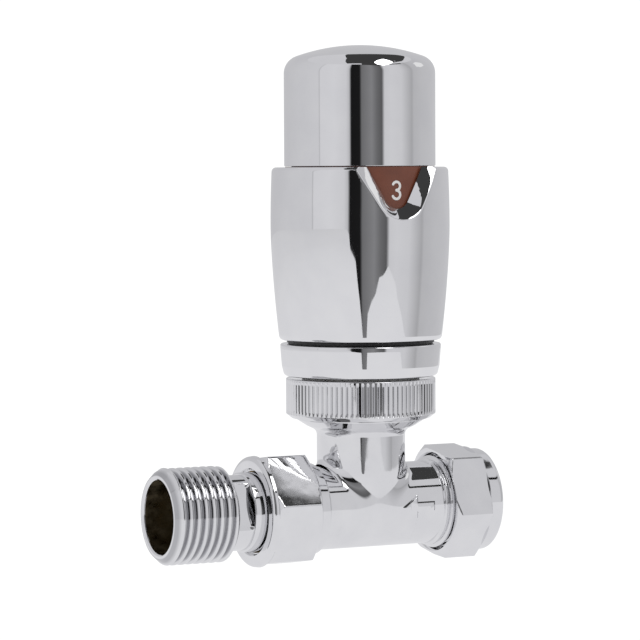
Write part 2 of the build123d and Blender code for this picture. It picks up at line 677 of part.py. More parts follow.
with BuildPart() as sensor_capsule:
    head_tube(CARRIER_TOP_Z + 0.05, CAPSULE_TOP_Z, CAPSULE_R)
    fillet(sensor_capsule.edges().group_by(Axis.Z)[-1], 1.5)
    head_tube(CARRIER_TOP_Z + 1.05, CAPSULE_TOP_Z - 1.0, CAPSULE_R - 0.8, mode=Mode.SUBTRACT)
    head_tube(CARRIER_TOP_Z, CARRIER_TOP_Z + 1.1, 3.0, mode=Mode.SUBTRACT)

save(sensor_capsule, "sensor_capsule")

BELLOWS_BOTTOM_Z = CARRIER_TOP_Z + 1.1
BELLOWS_STEP = 1.5
BELLOWS_FOLDS = 12
BELLOWS_TOP_Z = BELLOWS_BOTTOM_Z + BELLOWS_STEP * BELLOWS_FOLDS

outer_folds = []
inner_folds = []
for fold in range(BELLOWS_FOLDS):
    base = BELLOWS_BOTTOM_Z + fold * BELLOWS_STEP
    outer_folds += [(7.4, base), (8.8, base + BELLOWS_STEP / 2)]
    inner_folds += [(6.9, base), (8.3, base + BELLOWS_STEP / 2)]

with BuildPart() as sensor_bellows:
    head_turn(
        *outer_folds, (7.4, BELLOWS_TOP_Z), (7.0, BELLOWS_TOP_Z + 0.6), (0, BELLOWS_TOP_Z + 0.6),
        (0, BELLOWS_TOP_Z), (6.9, BELLOWS_TOP_Z), *reversed(inner_folds),
    )

save(sensor_bellows, "sensor_bellows")

ROD_FLANGE_Z = 46.0
CUP_FLOOR_Z = 38.2

with BuildPart() as push_rod:
    head_turn(
        (0, ROD_FLANGE_Z), (6.2, ROD_FLANGE_Z), (6.2, ROD_FLANGE_Z + 1.2), (2.6, ROD_FLANGE_Z + 1.6),
        (2.6, BELLOWS_TOP_Z - 0.1), (0, BELLOWS_TOP_Z - 0.1),
    )

save(push_rod, "push_rod")

with BuildPart() as overtravel_spring:
    coil(CUP_FLOOR_Z + 0.05, ROD_FLANGE_Z - 0.05, 5.2, 0.45, 1.5)

save(overtravel_spring, "overtravel_spring")

with BuildPart() as thrust_cup:
    head_tube(CUP_FLOOR_Z - 1.4, ROD_FLANGE_Z + 2.5, CUP_R)
    head_tube(CUP_FLOOR_Z, ROD_FLANGE_Z + 2.5, CUP_R - 0.7, mode=Mode.SUBTRACT)

save(thrust_cup, "thrust_cup")

with BuildPart() as thrust_button:
    head_tube(SPINDLE_TIP_Z + 0.02, CUP_FLOOR_Z - 1.42, 3.5)
    fillet(thrust_button.edges().group_by(Axis.Z)[0], 0.8)

save(thrust_button, "thrust_button")
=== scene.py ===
import json
from math import atan2, ceil, cos, hypot, pi, radians, sin, sqrt, tan

import bmesh
import bpy
from mathutils import Matrix, Vector
from mathutils.geometry import delaunay_2d_cdt


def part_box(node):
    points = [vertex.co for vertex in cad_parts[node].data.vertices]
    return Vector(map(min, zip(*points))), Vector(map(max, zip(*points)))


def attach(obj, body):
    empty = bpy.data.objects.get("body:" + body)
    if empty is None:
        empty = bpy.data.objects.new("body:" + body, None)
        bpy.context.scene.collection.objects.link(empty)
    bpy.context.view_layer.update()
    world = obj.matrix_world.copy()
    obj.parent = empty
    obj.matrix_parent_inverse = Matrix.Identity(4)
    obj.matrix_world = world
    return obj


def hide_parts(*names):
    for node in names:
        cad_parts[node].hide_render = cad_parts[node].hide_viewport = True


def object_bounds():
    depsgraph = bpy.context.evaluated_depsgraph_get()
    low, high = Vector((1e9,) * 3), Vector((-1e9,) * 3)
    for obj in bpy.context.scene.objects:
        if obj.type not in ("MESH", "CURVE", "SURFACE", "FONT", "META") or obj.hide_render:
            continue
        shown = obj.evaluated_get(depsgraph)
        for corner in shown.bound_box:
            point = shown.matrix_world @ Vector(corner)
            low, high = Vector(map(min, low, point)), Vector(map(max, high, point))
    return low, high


# The looks of a thermostatic radiator valve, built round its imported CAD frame.
# Sizes below are in millimetres, in the frame's axes: +X out of the pipe socket, +Z up the head.

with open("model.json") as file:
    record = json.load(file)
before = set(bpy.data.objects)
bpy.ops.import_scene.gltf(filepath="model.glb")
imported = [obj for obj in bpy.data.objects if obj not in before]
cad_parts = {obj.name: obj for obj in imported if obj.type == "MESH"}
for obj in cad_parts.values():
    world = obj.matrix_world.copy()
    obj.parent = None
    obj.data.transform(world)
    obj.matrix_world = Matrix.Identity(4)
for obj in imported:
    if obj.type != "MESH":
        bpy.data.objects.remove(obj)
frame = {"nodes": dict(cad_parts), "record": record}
cad_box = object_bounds()

MM = 0.001


# --- sizes read from the frame ---------------------------------------------------------------

def span(node, axis):
    """Lowest and highest value of a node along one axis, in millimetres."""
    low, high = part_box(node)
    return low[axis] / MM, high[axis] / MM


X, Y, Z = 0, 1, 2
CAP_LEFT, CAP_RIGHT = span("top_cap", X)
HEAD_X = (CAP_LEFT + CAP_RIGHT) / 2
CAP_R = (CAP_RIGHT - CAP_LEFT) / 2
CAP_BOTTOM_Z, CAP_TOP_Z = span("top_cap", Z)
SLEEVE_BOTTOM_Z, SLEEVE_TOP_Z = span("setting_sleeve", Z)
SLEEVE_R = span("setting_sleeve", Y)[1]
BASE_BOTTOM_Z, BASE_TOP_Z = span("base_ring", Z)
BASE_R = span("base_ring", Y)[1]
KNURL_BOTTOM_Z, KNURL_TOP_Z = span("knurled_ring", Z)
KNURL_R = span("knurled_ring", Y)[1]
PIPE_NUT_LEFT, PIPE_NUT_RIGHT = span("compression_nut", X)
UNION_LEFT, UNION_RIGHT = span("union_nut", X)
TAIL_LEFT, TAIL_RIGHT = span("radiator_tail", X)
TAIL_MAJOR_R = span("radiator_tail", Y)[1]
BODY_LEFT, BODY_RIGHT = span("valve_body", X)
BODY_TOP_Z = span("valve_body", Z)[1]
BAND_R = span("number_band", Y)[1]

# --- other driving sizes ---------------------------------------------------------------------

TUBE_R = -span("valve_body", Z)[0] - 1.12   # the threads stand this much proud of the tube
CAP_DOME_R = 42.0
CAP_CORNER = 4.0
CAP_WALL = 1.5
SLEEVE_BELLY_Z = 62.0
SLEEVE_BORE_R = 17.0
LINER_BORE_R = 16.35
SLEEVE_STEP_Z = 60.7
NECK_R = 9.8
FLANGE_R = 14.3
HEAD_THREAD_R = 14.92
BODY_THREAD_R = 10.32
NUT_BORE_R = 10.4
NUT_FLATS = 23.0
NUT_CORNER_R = NUT_FLATS / sqrt(3) + 0.1      # the blank just outside the hexagon's corners
NUT_TURN = radians(9.1)
UNION_COLLAR = 1.5               # length of the union nut's turned collar
KNURL_COUNT = 90
THREAD_PITCH = 1.814
THREAD_DEPTH = 1.12
THREAD_END = -55.8
TAIL_NECK_END = -51.2
SHOULDER_END = -44.7
TAIL_NECK_R = 8.25
SHOULDER_R = 8.7
SPIGOT_R = 7.5
MOUTH_BORE_R = 8.0
WATER_R = 5.0
FLAT_REACH = 6.4                 # from the pipe's axis to each spanner flat
FLAT_TILT = radians(17)
PIPE_SOCKET_R = 7.55
PIPE_SOCKET_END = -12.2
TAIL_SOCKET_R = 7.6
TAIL_SOCKET_END = -33.8
LEFT_SHOULDER = -35.9            # where the union nut's thread on the body begins
NECK_TOP = 12.0                  # the neck is blended with the tube up to this height
DIGIT_Z = 69.9
DIGIT_HEIGHT = 4.3
PEN_WIDTH = 0.58
DIAL_TURN = radians(1.0)
MARK_STEP = radians(45)

WINDOW_SLOPE = radians(33.6)     # each side of the V, from the vertical
WINDOW_POINT_Z = 58.7            # where the two sides would meet
WINDOW_CORNER = 6.07             # radius of the rounded point
WINDOW_BEVEL = 2.35              # width of the bevel, outer rim to inner edge
UNROLL_R = 19.4                  # radius at which the sleeve's skin is unrolled

CAMERA_AZIMUTH = radians(-27.5)
CAMERA_DISTANCE = 690.0
CAMERA_HEIGHT = 75.3
CAMERA_LENS = 175.6
CAMERA_ASIDE = 8.95              # the aim passes this far to the left of the head's axis
CAMERA_DROP = radians(2.828)
CAMERA_ROLL = radians(-0.27)


# --- outlines --------------------------------------------------------------------------------

def rounded(corners, steps=6):
    """Points of a closed outline from (radius, along, fillet) corners, each fillet an arc."""
    points = []
    for index, (radius, along, fillet) in enumerate(corners):
        here = Vector((radius, along))
        if fillet == 0:
            points.append((radius, along))
            continue
        before = Vector(corners[index - 1][:2])
        after = Vector(corners[(index + 1) % len(corners)][:2])
        back = (before - here).normalized()
        ahead = (after - here).normalized()
        half = back.angle(ahead) / 2
        centre = here + (back + ahead).normalized() * fillet / sin(half)
        start = here + back * fillet / tan(half) - centre
        end = here + ahead * fillet / tan(half) - centre
        begin = atan2(start.y, start.x)
        sweep = (atan2(end.y, end.x) - begin + pi) % (2 * pi) - pi
        for step in range(steps + 1):
            angle = begin + sweep * step / steps
            points.append((centre.x + fillet * cos(angle), centre.y + fillet * sin(angle)))
    return points


def divided(points, length, closed=True):
    """The outline with its long straight runs cut into equal pieces of at most this length."""
    result = []
    for index, here in enumerate(points):
        if index == len(points) - 1 and not closed:
            result.append(here)
            break
        after = points[(index + 1) % len(points)]
        pieces = max(1, ceil(hypot(after[0] - here[0], after[1] - here[1]) / length))
        for piece in range(pieces):
            part = piece / pieces
            result.append((here[0] + (after[0] - here[0]) * part, here[1] + (after[1] - here[1]) * part))
    return result


def dome(radius, top, sphere, corner, steps=10):
    """Points from a cylinder's wall over a rounded corner and a shallow dome to its centre."""
    sphere_z = top - sphere
    corner_z = sphere_z + sqrt((sphere - corner) ** 2 - (radius - corner) ** 2)
    meet = atan2(corner_z - sphere_z, radius - corner)
    points = []
    for step in range(steps + 1):
        angle = meet * step / steps
        points.append((radius - corner + corner * cos(angle), corner_z + corner * sin(angle)))
    for step in range(1, 3 * steps + 1):
        angle = meet + (pi / 2 - meet) * step / (3 * steps)
        points.append((max(0.0, sphere * cos(angle)), sphere_z + sphere * sin(angle)))
    return points


# --- meshes ----------------------------------------------------------------------------------

def on_head(radius, angle, along):
    """A point round the head's axis: the angle is measured from +X towards +Y."""
    return (HEAD_X + radius * cos(angle), radius * sin(angle), along)


def on_pipe(radius, angle, along):
    """A point round the pipe's axis: the angle is measured from -Y towards +Z."""
    return (along, -radius * cos(angle), radius * sin(angle))


def swept(outline, columns, place, shape=None, closed=True):
    """Vertices and quads of an outline carried round an axis, its radius changed by shape."""
    verts = []
    faces = []
    rows = len(outline)
    for column in range(columns):
        angle = 2 * pi * column / columns
        for radius, along in outline:
            reach = shape(radius, angle, along) if shape else radius
            verts.append(place(reach, angle, along))
    last = rows if closed else rows - 1
    for column in range(columns):
        ahead = (column + 1) % columns
        for row in range(last):
            above = (row + 1) % rows
            faces.append((
                column * rows + row, column * rows + above,
                ahead * rows + above, ahead * rows + row,
            ))
    return verts, faces


def joined(*shells):
    """Several (vertices, faces) pairs as one."""
    verts = []
    faces = []
    for shell_verts, shell_faces in shells:
        start = len(verts)
        verts += shell_verts
        faces += [tuple(start + corner for corner in face) for face in shell_faces]
    return verts, faces


def piece(name, shell, body, slot, material, replaced=(), crease=30, outward=True):
    """A finished object from vertices in millimetres, smooth except at its creases."""
    verts, faces = shell
    mesh = bpy.data.meshes.new(name)
    mesh.from_pydata([Vector(vert) * MM for vert in verts], [], faces)
    work = bmesh.new()
    work.from_mesh(mesh)
    bmesh.ops.remove_doubles(work, verts=work.verts, dist=0.002 * MM)
    bmesh.ops.dissolve_degenerate(work, edges=work.edges, dist=0.0005 * MM)
    if outward:
        bmesh.ops.recalc_face_normals(work, faces=work.faces)
    work.to_mesh(mesh)
    work.free()
    mesh.shade_smooth()
    mesh.set_sharp_from_angle(angle=radians(crease))
    made = bpy.data.objects.new(name, mesh)
    bpy.context.scene.collection.objects.link(made)
    mesh.materials.append(material)
    weighted = made.modifiers.new("even_normals", "WEIGHTED_NORMAL")
    weighted.keep_sharp = True
    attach(made, body)
    if replaced:
        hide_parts(*replaced)
    return made


def smooth_min(a, b, blend):
    """The smaller of two numbers, rounded where they are nearly equal."""
    near = max(blend - abs(a - b), 0.0) / blend
    return min(a, b) - near * near * blend / 4


def smooth_step(value):
    """0 below 0, 1 above 1, and an S between."""
    held = min(max(value, 0.0), 1.0)
    return held * held * (3 - 2 * held)


# --- materials -------------------------------------------------------------------------------

def new_material(name):
    """An empty node material and the handles that its builder needs."""
    material = bpy.data.materials.new(name)
    material.use_nodes = True
    nodes = material.node_tree.nodes
    links = material.node_tree.links
    return material, nodes, links, nodes["Principled BSDF"]


def noise(nodes, links, scale, detail=3.0, stretch=(1.0, 1.0, 1.0)):
    """A noise pattern fixed to the object, its scale in features per metre."""
    place = nodes.new("ShaderNodeTexCoord")
    mapping = nodes.new("ShaderNodeMapping")
    mapping.inputs["Scale"].default_value = stretch
    pattern = nodes.new("ShaderNodeTexNoise")
    pattern.inputs["Scale"].default_value = scale
    pattern.inputs["Detail"].default_value = detail
    links.new(place.outputs["Object"], mapping.inputs["Vector"])
    links.new(mapping.outputs["Vector"], pattern.inputs["Vector"])
    return pattern.outputs["Fac"]


def ramp(nodes, links, source, stops):
    """A colour ramp from (position, colour) stops."""
    node = nodes.new("ShaderNodeValToRGB")
    elements = node.color_ramp.elements
    while len(elements) < len(stops):
        elements.new(0.5)
    for element, (position, colour) in zip(elements, stops):
        element.position = position
        element.color = (*colour, 1.0)
    links.new(source, node.inputs["Fac"])
    return node.outputs["Color"]


def between(nodes, links, source, low, high):
    """The pattern spread over a range of values."""
    node = nodes.new("ShaderNodeMapRange")
    node.inputs["From Min"].default_value = 0.3
    node.inputs["From Max"].default_value = 0.7
    node.inputs["To Min"].default_value = low
    node.inputs["To Max"].default_value = high
    links.new(source, node.inputs["Value"])
    return node.outputs["Result"]


def bump(nodes, links, shader, height, strength, distance):
    """Fine relief on the shader's normal, its distance in metres."""
    node = nodes.new("ShaderNodeBump")
    node.inputs["Strength"].default_value = strength
    node.inputs["Distance"].default_value = distance
    links.new(height, node.inputs["Height"])
    links.new(node.outputs["Normal"], shader.inputs["Normal"])


def metal(name, light, dark, rough, waves=90.0, wave_height=0.00002, stretch=(1, 1, 1)):
    """Polished or turned metal: faint tone and gloss changes, and a slightly wavy skin."""
    material, nodes, links, shader = new_material(name)
    shader.inputs["Metallic"].default_value = 1.0
    tone = noise(nodes, links, 160.0, 4.0)
    links.new(ramp(nodes, links, tone, [(0.35, dark), (0.65, light)]), shader.inputs["Base Color"])
    smudge = noise(nodes, links, 420.0, 6.0)
    links.new(between(nodes, links, smudge, rough * 0.6, rough * 1.7), shader.inputs["Roughness"])
    bump(nodes, links, shader, noise(nodes, links, waves, 1.0, stretch), 1.0, wave_height)
    return material


def grooved_chrome(name):
    """Chrome on the tail, its colour darkened in the roots of the thread as painted shade."""
    material = metal(name, (0.84, 0.84, 0.85), (0.80, 0.80, 0.815), 0.05, 130.0, 0.00002)
    nodes = material.node_tree.nodes
    links = material.node_tree.links
    colour = nodes["Principled BSDF"].inputs["Base Color"]
    place = nodes.new("ShaderNodeTexCoord")
    across = nodes.new("ShaderNodeVectorMath")
    across.operation = "MULTIPLY"
    across.inputs[1].default_value = (0.0, 1.0, 1.0)
    reach = nodes.new("ShaderNodeVectorMath")
    reach.operation = "LENGTH"
    share = nodes.new("ShaderNodeMapRange")
    share.inputs["From Min"].default_value = 8.0 * MM
    share.inputs["From Max"].default_value = 10.5 * MM
    links.new(place.outputs["Object"], across.inputs[0])
    links.new(across.outputs["Vector"], reach.inputs["Vector"])
    links.new(reach.outputs["Value"], share.inputs["Value"])
    # colour multiplier across the tail's radius: full on the crests and the neck, darker in the thread's
    # roots as painted shade
    unshaded = (1.0, 1.0, 1.0)
    root_shade = (0.64, 0.64, 0.65)
    stops = [(0.33, unshaded), (0.45, root_shade), (0.66, root_shade), (0.88, unshaded)]
    shade = ramp(nodes, links, share.outputs["Result"], stops)
    blend = nodes.new("ShaderNodeMix")
    blend.data_type = "RGBA"
    blend.blend_type = "MULTIPLY"
    blend.inputs[0].default_value = 1.0
    links.new(colour.links[0].from_socket, blend.inputs[6])
    links.new(shade, blend.inputs[7])
    links.new(blend.outputs[2], colour)
    return material


def plastic(name, light, dark, rough, grain=1500.0, grain_height=0.000004):
    """Moulded plastic or rubber with a fine grain and slightly uneven colour."""
    material, nodes, links, shader = new_material(name)
    tone = noise(nodes, links, 220.0, 5.0)
    links.new(ramp(nodes, links, tone, [(0.3, dark), (0.7, light)]), shader.inputs["Base Color"])
    speckle = noise(nodes, links, grain, 4.0)
    links.new(between(nodes, links, speckle, rough * 0.8, rough * 1.25), shader.inputs["Roughness"])
    bump(nodes, links, shader, speckle, 0.6, grain_height)
    return material


CHROME_PLASTIC = metal("chrome_plastic", (0.86, 0.86, 0.87), (0.83, 0.83, 0.845), 0.03, 70.0, 0.00001)
CHROME_BRASS = metal("chrome_brass", (0.84, 0.84, 0.85), (0.80, 0.80, 0.815), 0.045, 130.0, 0.00002)
TAIL_CHROME = grooved_chrome("tail_chrome")
SLEEVE_CHROME = metal("sleeve_chrome", (0.86, 0.86, 0.87), (0.83, 0.83, 0.845), 0.03, 80.0, 0.00004)
BRASS = metal("raw_brass", (0.80, 0.62, 0.34), (0.66, 0.49, 0.25), 0.22, 900.0, 0.000006)
# brass darkened as painted shade, for the inside of the tail's bore
BORE_SHADE_BRASS = metal("bore_brass_painted_shade", (0.27, 0.225, 0.145), (0.17, 0.14, 0.09), 0.36, 500.0, 0.000005)
STEEL = metal("spring_steel", (0.62, 0.62, 0.63), (0.50, 0.50, 0.52), 0.2, 800.0, 0.000004)
STAINLESS = metal("stainless", (0.68, 0.68, 0.69), (0.58, 0.58, 0.60), 0.14, 600.0, 0.000004)
ALUMINIUM = metal("aluminium", (0.80, 0.80, 0.81), (0.72, 0.72, 0.74), 0.25, 500.0, 0.000004)
BAND = plastic("band_plastic", (0.215, 0.066, 0.034), (0.17, 0.05, 0.026), 0.38)
PRINT = plastic("print", (0.93, 0.91, 0.88), (0.86, 0.84, 0.80), 0.5)
WHITE = plastic("white_plastic", (0.80, 0.80, 0.78), (0.74, 0.74, 0.71), 0.4)
BLACK = plastic("black_plastic", (0.022, 0.022, 0.023), (0.012, 0.012, 0.013), 0.45)
RUBBER = plastic("rubber", (0.03, 0.03, 0.031), (0.018, 0.018, 0.019), 0.7)

MATERIAL_OF_SLOT = {
    "chrome_plastic": CHROME_PLASTIC, "chrome_brass": CHROME_BRASS, "raw_brass": BRASS,
    "spring_steel": STEEL, "stainless": STAINLESS, "rubber": RUBBER, "band_plastic": BAND,
    "print": PRINT, "white_plastic": WHITE, "black_plastic": BLACK, "aluminium": ALUMINIUM,
}


def dress_cad_nodes():
    """Every CAD node gets the material of its slot in the record."""
    for part in frame["record"]["subparts"]:
        mesh = frame["nodes"][part["node"]].data
        mesh.materials.clear()
        mesh.materials.append(MATERIAL_OF_SLOT[part["material_slot"]])


# --- head ------------------------------------------------------------------------------------

def make_cap():
    """The fixed top cap: a thin domed shell."""
    outside = dome(CAP_R, CAP_TOP_Z, CAP_DOME_R, CAP_CORNER)
    inside = dome(CAP_R - CAP_WALL, CAP_TOP_Z - CAP_WALL, CAP_DOME_R, CAP_CORNER - CAP_WALL)
    foot = [
        (CAP_R - CAP_WALL, CAP_BOTTOM_Z), (CAP_R - 0.18, CAP_BOTTOM_Z),
        (CAP_R - 0.05, CAP_BOTTOM_Z + 0.05), (CAP_R, CAP_BOTTOM_Z + 0.18),
    ]
    shell = swept(foot + outside + inside[::-1], 256, on_head)
    piece("cap_shell", shell, "head", "chrome_plastic", CHROME_PLASTIC, ["top_cap"])


def sleeve_radius(along):
    """Outside radius of the setting sleeve: a belly that narrows towards the foot and the top."""
    if along < SLEEVE_BELLY_Z:
        return SLEEVE_R - 0.01192 * (SLEEVE_BELLY_Z - along) ** 1.565
    return SLEEVE_R - 0.0019 * (along - SLEEVE_BELLY_Z) ** 2


def window_depth_in(aside, along):
    """How far a point of the unrolled skin lies inside the V window's rim."""
    centre_z = WINDOW_POINT_Z + WINDOW_CORNER / sin(WINDOW_SLOPE)
    if along < centre_z - abs(aside) * tan(WINDOW_SLOPE):
        return WINDOW_CORNER - hypot(aside, along - centre_z)
    return (along - WINDOW_POINT_Z) * sin(WINDOW_SLOPE) - abs(aside) * cos(WINDOW_SLOPE)


def window_line(inset, top, step=0.45):
    """The right half of the rim, moved inwards by inset, as (aside, along) from the point up."""
    centre_z = WINDOW_POINT_Z + WINDOW_CORNER / sin(WINDOW_SLOPE)
    radius = WINDOW_CORNER - inset
    points = []
    arc_steps = 14
    for index in range(arc_steps + 1):
        angle = (pi / 2 - WINDOW_SLOPE) * index / arc_steps
        points.append((radius * sin(angle), centre_z - radius * cos(angle)))
    low_z = points[-1][1]
    count = ceil((top - low_z) / step)
    for index in range(1, count + 1):
        along = low_z + (top - low_z) * index / count
        aside = ((along - WINDOW_POINT_Z) * sin(WINDOW_SLOPE) - inset) / cos(WINDOW_SLOPE)
        points.append((aside, along))
    return points


def sleeve_outline():
    """The sleeve's section, from the outer foot up, over the top and down the inside."""
    wall = []
    start = SLEEVE_BOTTOM_Z + 0.7
    top = SLEEVE_TOP_Z - 1.0
    count = 70
    for index in range(count + 1):
        along = start + (top - start) * index / count
        wall.append((sleeve_radius(along), along))
    foot_r = sleeve_radius(SLEEVE_BOTTOM_Z)
    foot = []
    for step in range(6):
        angle = radians(-90 + 15 * step)
        foot.append((foot_r - 0.7 + 0.7 * cos(angle), start + 0.7 * sin(angle)))
    shoulder_r = sleeve_radius(top)
    shoulder = []
    for step in range(1, 11):
        angle = radians(9 * step)
        shoulder.append((shoulder_r - 1.0 + cos(angle), top + sin(angle)))
    inside = [
        (SLEEVE_BORE_R + 0.9, SLEEVE_TOP_Z), (SLEEVE_BORE_R + 0.3, SLEEVE_TOP_Z),
        (SLEEVE_BORE_R + 0.09, SLEEVE_TOP_Z - 0.09), (SLEEVE_BORE_R, SLEEVE_TOP_Z - 0.3),
        (SLEEVE_BORE_R, SLEEVE_STEP_Z), (LINER_BORE_R, SLEEVE_STEP_Z),
        (LINER_BORE_R, SLEEVE_BOTTOM_Z),
    ]
    return foot + wall + shoulder + divided(inside, 0.6, closed=False)


def running_lengths(outline):
    """How far along an outline each of its points lies."""
    lengths = [0.0]
    for before, after in zip(outline, outline[1:]):
        lengths.append(lengths[-1] + hypot(after[0] - before[0], after[1] - before[1]))
    return lengths


SLEEVE_OUTLINE = sleeve_outline()
SLEEVE_LENGTHS = running_lengths(SLEEVE_OUTLINE)
SLEEVE_ROWS = list(enumerate(SLEEVE_OUTLINE))
SLEEVE_COLUMNS = 240
PATCH_COLUMNS = 32      # columns on each side of the window whose mesh is made anew
PATCH_START_Z = 60.8
WINDOW_ROUNDING = 0.25
WINDOW_INSETS = [-WINDOW_ROUNDING, -0.12, 0.0, 0.12, WINDOW_ROUNDING, 0.6, 1.1, 1.7, WINDOW_BEVEL]
CHAIN_CLEARANCE = 0.16  # grid points nearer than this to a chain of the window are left out

TOP_ROW = max(row for row, (_, along) in SLEEVE_ROWS if along >= SLEEVE_TOP_Z - 1e-6)
LOW_ROW = max(row for row, (_, along) in SLEEVE_ROWS[:TOP_ROW] if along < PATCH_START_Z)
WALL_TOP_ROW = max(row for row, (_, along) in SLEEVE_ROWS[:TOP_ROW] if along < SLEEVE_TOP_Z - 1e-3)
BORE_ROW = min(row for row, (radius, _) in SLEEVE_ROWS[TOP_ROW:] if radius < SLEEVE_BORE_R + 1e-6)
BORE_ROWS = SLEEVE_ROWS[TOP_ROW + 1:-3]     # the last rows close the sleeve's foot
INNER_ROW = max(row for row, (radius, _) in BORE_ROWS if radius >= SLEEVE_BORE_R - 1e-6)


def on_outline(length):
    """Radius and height of the sleeve's outline at a distance along it."""
    low = max(row for row, value in enumerate(SLEEVE_LENGTHS[:-1]) if value <= length + 1e-9)
    part = (length - SLEEVE_LENGTHS[low]) / (SLEEVE_LENGTHS[low + 1] - SLEEVE_LENGTHS[low])
    here, after = SLEEVE_OUTLINE[low], SLEEVE_OUTLINE[low + 1]
    return here[0] + (after[0] - here[0]) * part, here[1] + (after[1] - here[1]) * part


def length_at(along):
    """Distance along the outline of a height on the outer wall."""
    low = max(row for row in range(WALL_TOP_ROW + 1) if SLEEVE_OUTLINE[row][1] <= along + 1e-9)
    part = (along - SLEEVE_OUTLINE[low][1]) / (SLEEVE_OUTLINE[low + 1][1] - SLEEVE_OUTLINE[low][1])
    return SLEEVE_LENGTHS[low] + (SLEEVE_LENGTHS[low + 1] - SLEEVE_LENGTHS[low]) * part


def sleeve_skin(aside, length):
    """The point of the sleeve's skin above a place on the unrolled outline."""
    radius, along = on_outline(length)
    inside = window_depth_in(aside, along)
    full = sleeve_radius(along) - SLEEVE_BORE_R
    depth = 0.0
    if inside > -WINDOW_ROUNDING:
        depth = full / WINDOW_BEVEL * -smooth_min(0.0, -inside, WINDOW_ROUNDING)
    reach = min(radius, sleeve_radius(along) - min(depth, full))
    return on_head(reach, aside / UNROLL_R - pi / 2 + DIAL_TURN, along)


def window_chains():
    """The rim, the bevel's lines and the inner edge, each a chain of (aside, length) points."""
    wall_top = SLEEVE_OUTLINE[WALL_TOP_ROW][1]
    bore_top = SLEEVE_OUTLINE[BORE_ROW][1]
    chains = []
    for inset in WINDOW_INSETS:
        half = [(aside, length_at(along)) for aside, along in window_line(inset, wall_top)]
        aside = ((SLEEVE_TOP_Z - WINDOW_POINT_Z) * sin(WINDOW_SLOPE) - inset) / cos(WINDOW_SLOPE)
        half += [(aside, SLEEVE_LENGTHS[row]) for row in range(WALL_TOP_ROW + 1, TOP_ROW + 1)]
        if inset == WINDOW_BEVEL:
            for aside, along in reversed(window_line(inset, bore_top)):
                half.append((aside, SLEEVE_LENGTHS[BORE_ROW] + bore_top - along))
        chains.append([(-aside, length) for aside, length in half[:0:-1]] + half)
    return chains


def window_grid():
    """The patch's own points, clear of the window's chains and outside its opening."""
    column_width = 2 * pi * UNROLL_R / SLEEVE_COLUMNS
    points = []
    for row in range(LOW_ROW, INNER_ROW + 1):
        for offset in range(-PATCH_COLUMNS, PATCH_COLUMNS + 1):
            aside = offset * column_width
            border = abs(offset) == PATCH_COLUMNS or row in (LOW_ROW, INNER_ROW)
            inside = window_depth_in(aside, SLEEVE_OUTLINE[row][1])
            nearest = min(abs(inside - inset) for inset in WINDOW_INSETS)
            if border or (nearest > CHAIN_CLEARANCE and inside < WINDOW_BEVEL):
                points.append((aside, SLEEVE_LENGTHS[row]))
    return points


def window_patch():
    """The skin round the window, its chains and grid joined by a constrained triangulation."""
    points = []
    edges = []
    for chain in window_chains():
        start = len(points)
        points += chain
        edges += [(start + index, start + index + 1) for index in range(len(chain) - 1)]
    points += window_grid()
    made = delaunay_2d_cdt([Vector(point) for point in points], edges, [], 0, 1e-5)
    flat_points, flat_faces = made[0], made[2]
    verts = [sleeve_skin(point.x, point.y) for point in flat_points]
    faces = []
    for face in flat_faces:
        aside = sum(flat_points[corner].x for corner in face) / 3
        length = sum(flat_points[corner].y for corner in face) / 3
        if window_depth_in(aside, on_outline(length)[1]) < WINDOW_BEVEL - 0.01:
            faces.append(tuple(face))
    return verts, faces


def make_sleeve():
    """The turning sleeve, its V window cut through the skin with a wide polished bevel."""
    def turned(radius, angle, along):
        """A point round the head's axis, counted from the dial's own zero."""
        return on_head(radius, angle + DIAL_TURN, along)

    verts, faces = swept(SLEEVE_OUTLINE, SLEEVE_COLUMNS, turned)
    middle = 3 * SLEEVE_COLUMNS // 4
    kept = []
    for face in faces:
        column, row = divmod(face[0], len(SLEEVE_OUTLINE))
        near_window = middle - PATCH_COLUMNS <= column < middle + PATCH_COLUMNS
        if not (near_window and LOW_ROW <= row < INNER_ROW):
            kept.append(face)
    shell = joined((verts, kept), window_patch())
    piece("sleeve_shell", shell, "sleeve", "chrome_plastic", SLEEVE_CHROME, ["setting_sleeve"], crease=26)


def make_base_ring():
    """The fixed ring below the running gap."""
    outline = rounded([
        (13.05, BASE_BOTTOM_Z, 0), (16.9, BASE_BOTTOM_Z, 0.9), (17.45, BASE_BOTTOM_Z + 2.2, 2.0),
        (BASE_R - 0.02, 35.0, 1.5), (BASE_R, BASE_TOP_Z, 0.35), (16.1, BASE_TOP_Z, 0.2),
        (16.1, 29.85, 0), (13.05, 29.85, 0),
    ])
    shell = swept(outline, 256, on_head)
    piece("base_shell", shell, "head", "chrome_plastic", CHROME_PLASTIC, ["base_ring"])


def make_knurled_ring():
    """The ring nut: straight ridges with rounded ends between plain edges."""
    low, high = KNURL_BOTTOM_Z + 0.95, KNURL_TOP_Z - 0.3
    outline = rounded([
        (15.0, KNURL_BOTTOM_Z, 0), (15.35, KNURL_BOTTOM_Z, 0.1), (KNURL_R, low, 0.15),
        (KNURL_R, KNURL_TOP_Z, 0.3), (13.1, KNURL_TOP_Z, 0), (13.1, 27.35, 0), (15.0, 27.35, 0),
    ])
    outline = divided(outline, 0.45)

    def ridges(radius, angle, along):
        """Grooves cut into the outer wall, fading out at both ends."""
        if radius < KNURL_R - 0.6:
            return radius
        place = (angle * KNURL_COUNT / (2 * pi)) % 1.0
        groove = smooth_step((abs(place - 0.5) - 0.26) / 0.2)
        fade = smooth_step((along - low + 0.1) / 0.5) * smooth_step((high + 0.1 - along) / 0.45)
        return min(radius, KNURL_R - 0.42 * groove * fade)

    shell = swept(outline, KNURL_COUNT * 12, on_head, ridges)
    piece("knurled_shell", shell, "ring", "chrome_brass", CHROME_BRASS, ["knurled_ring"], crease=50)


# --- dial marks ------------------------------------------------------------------------------

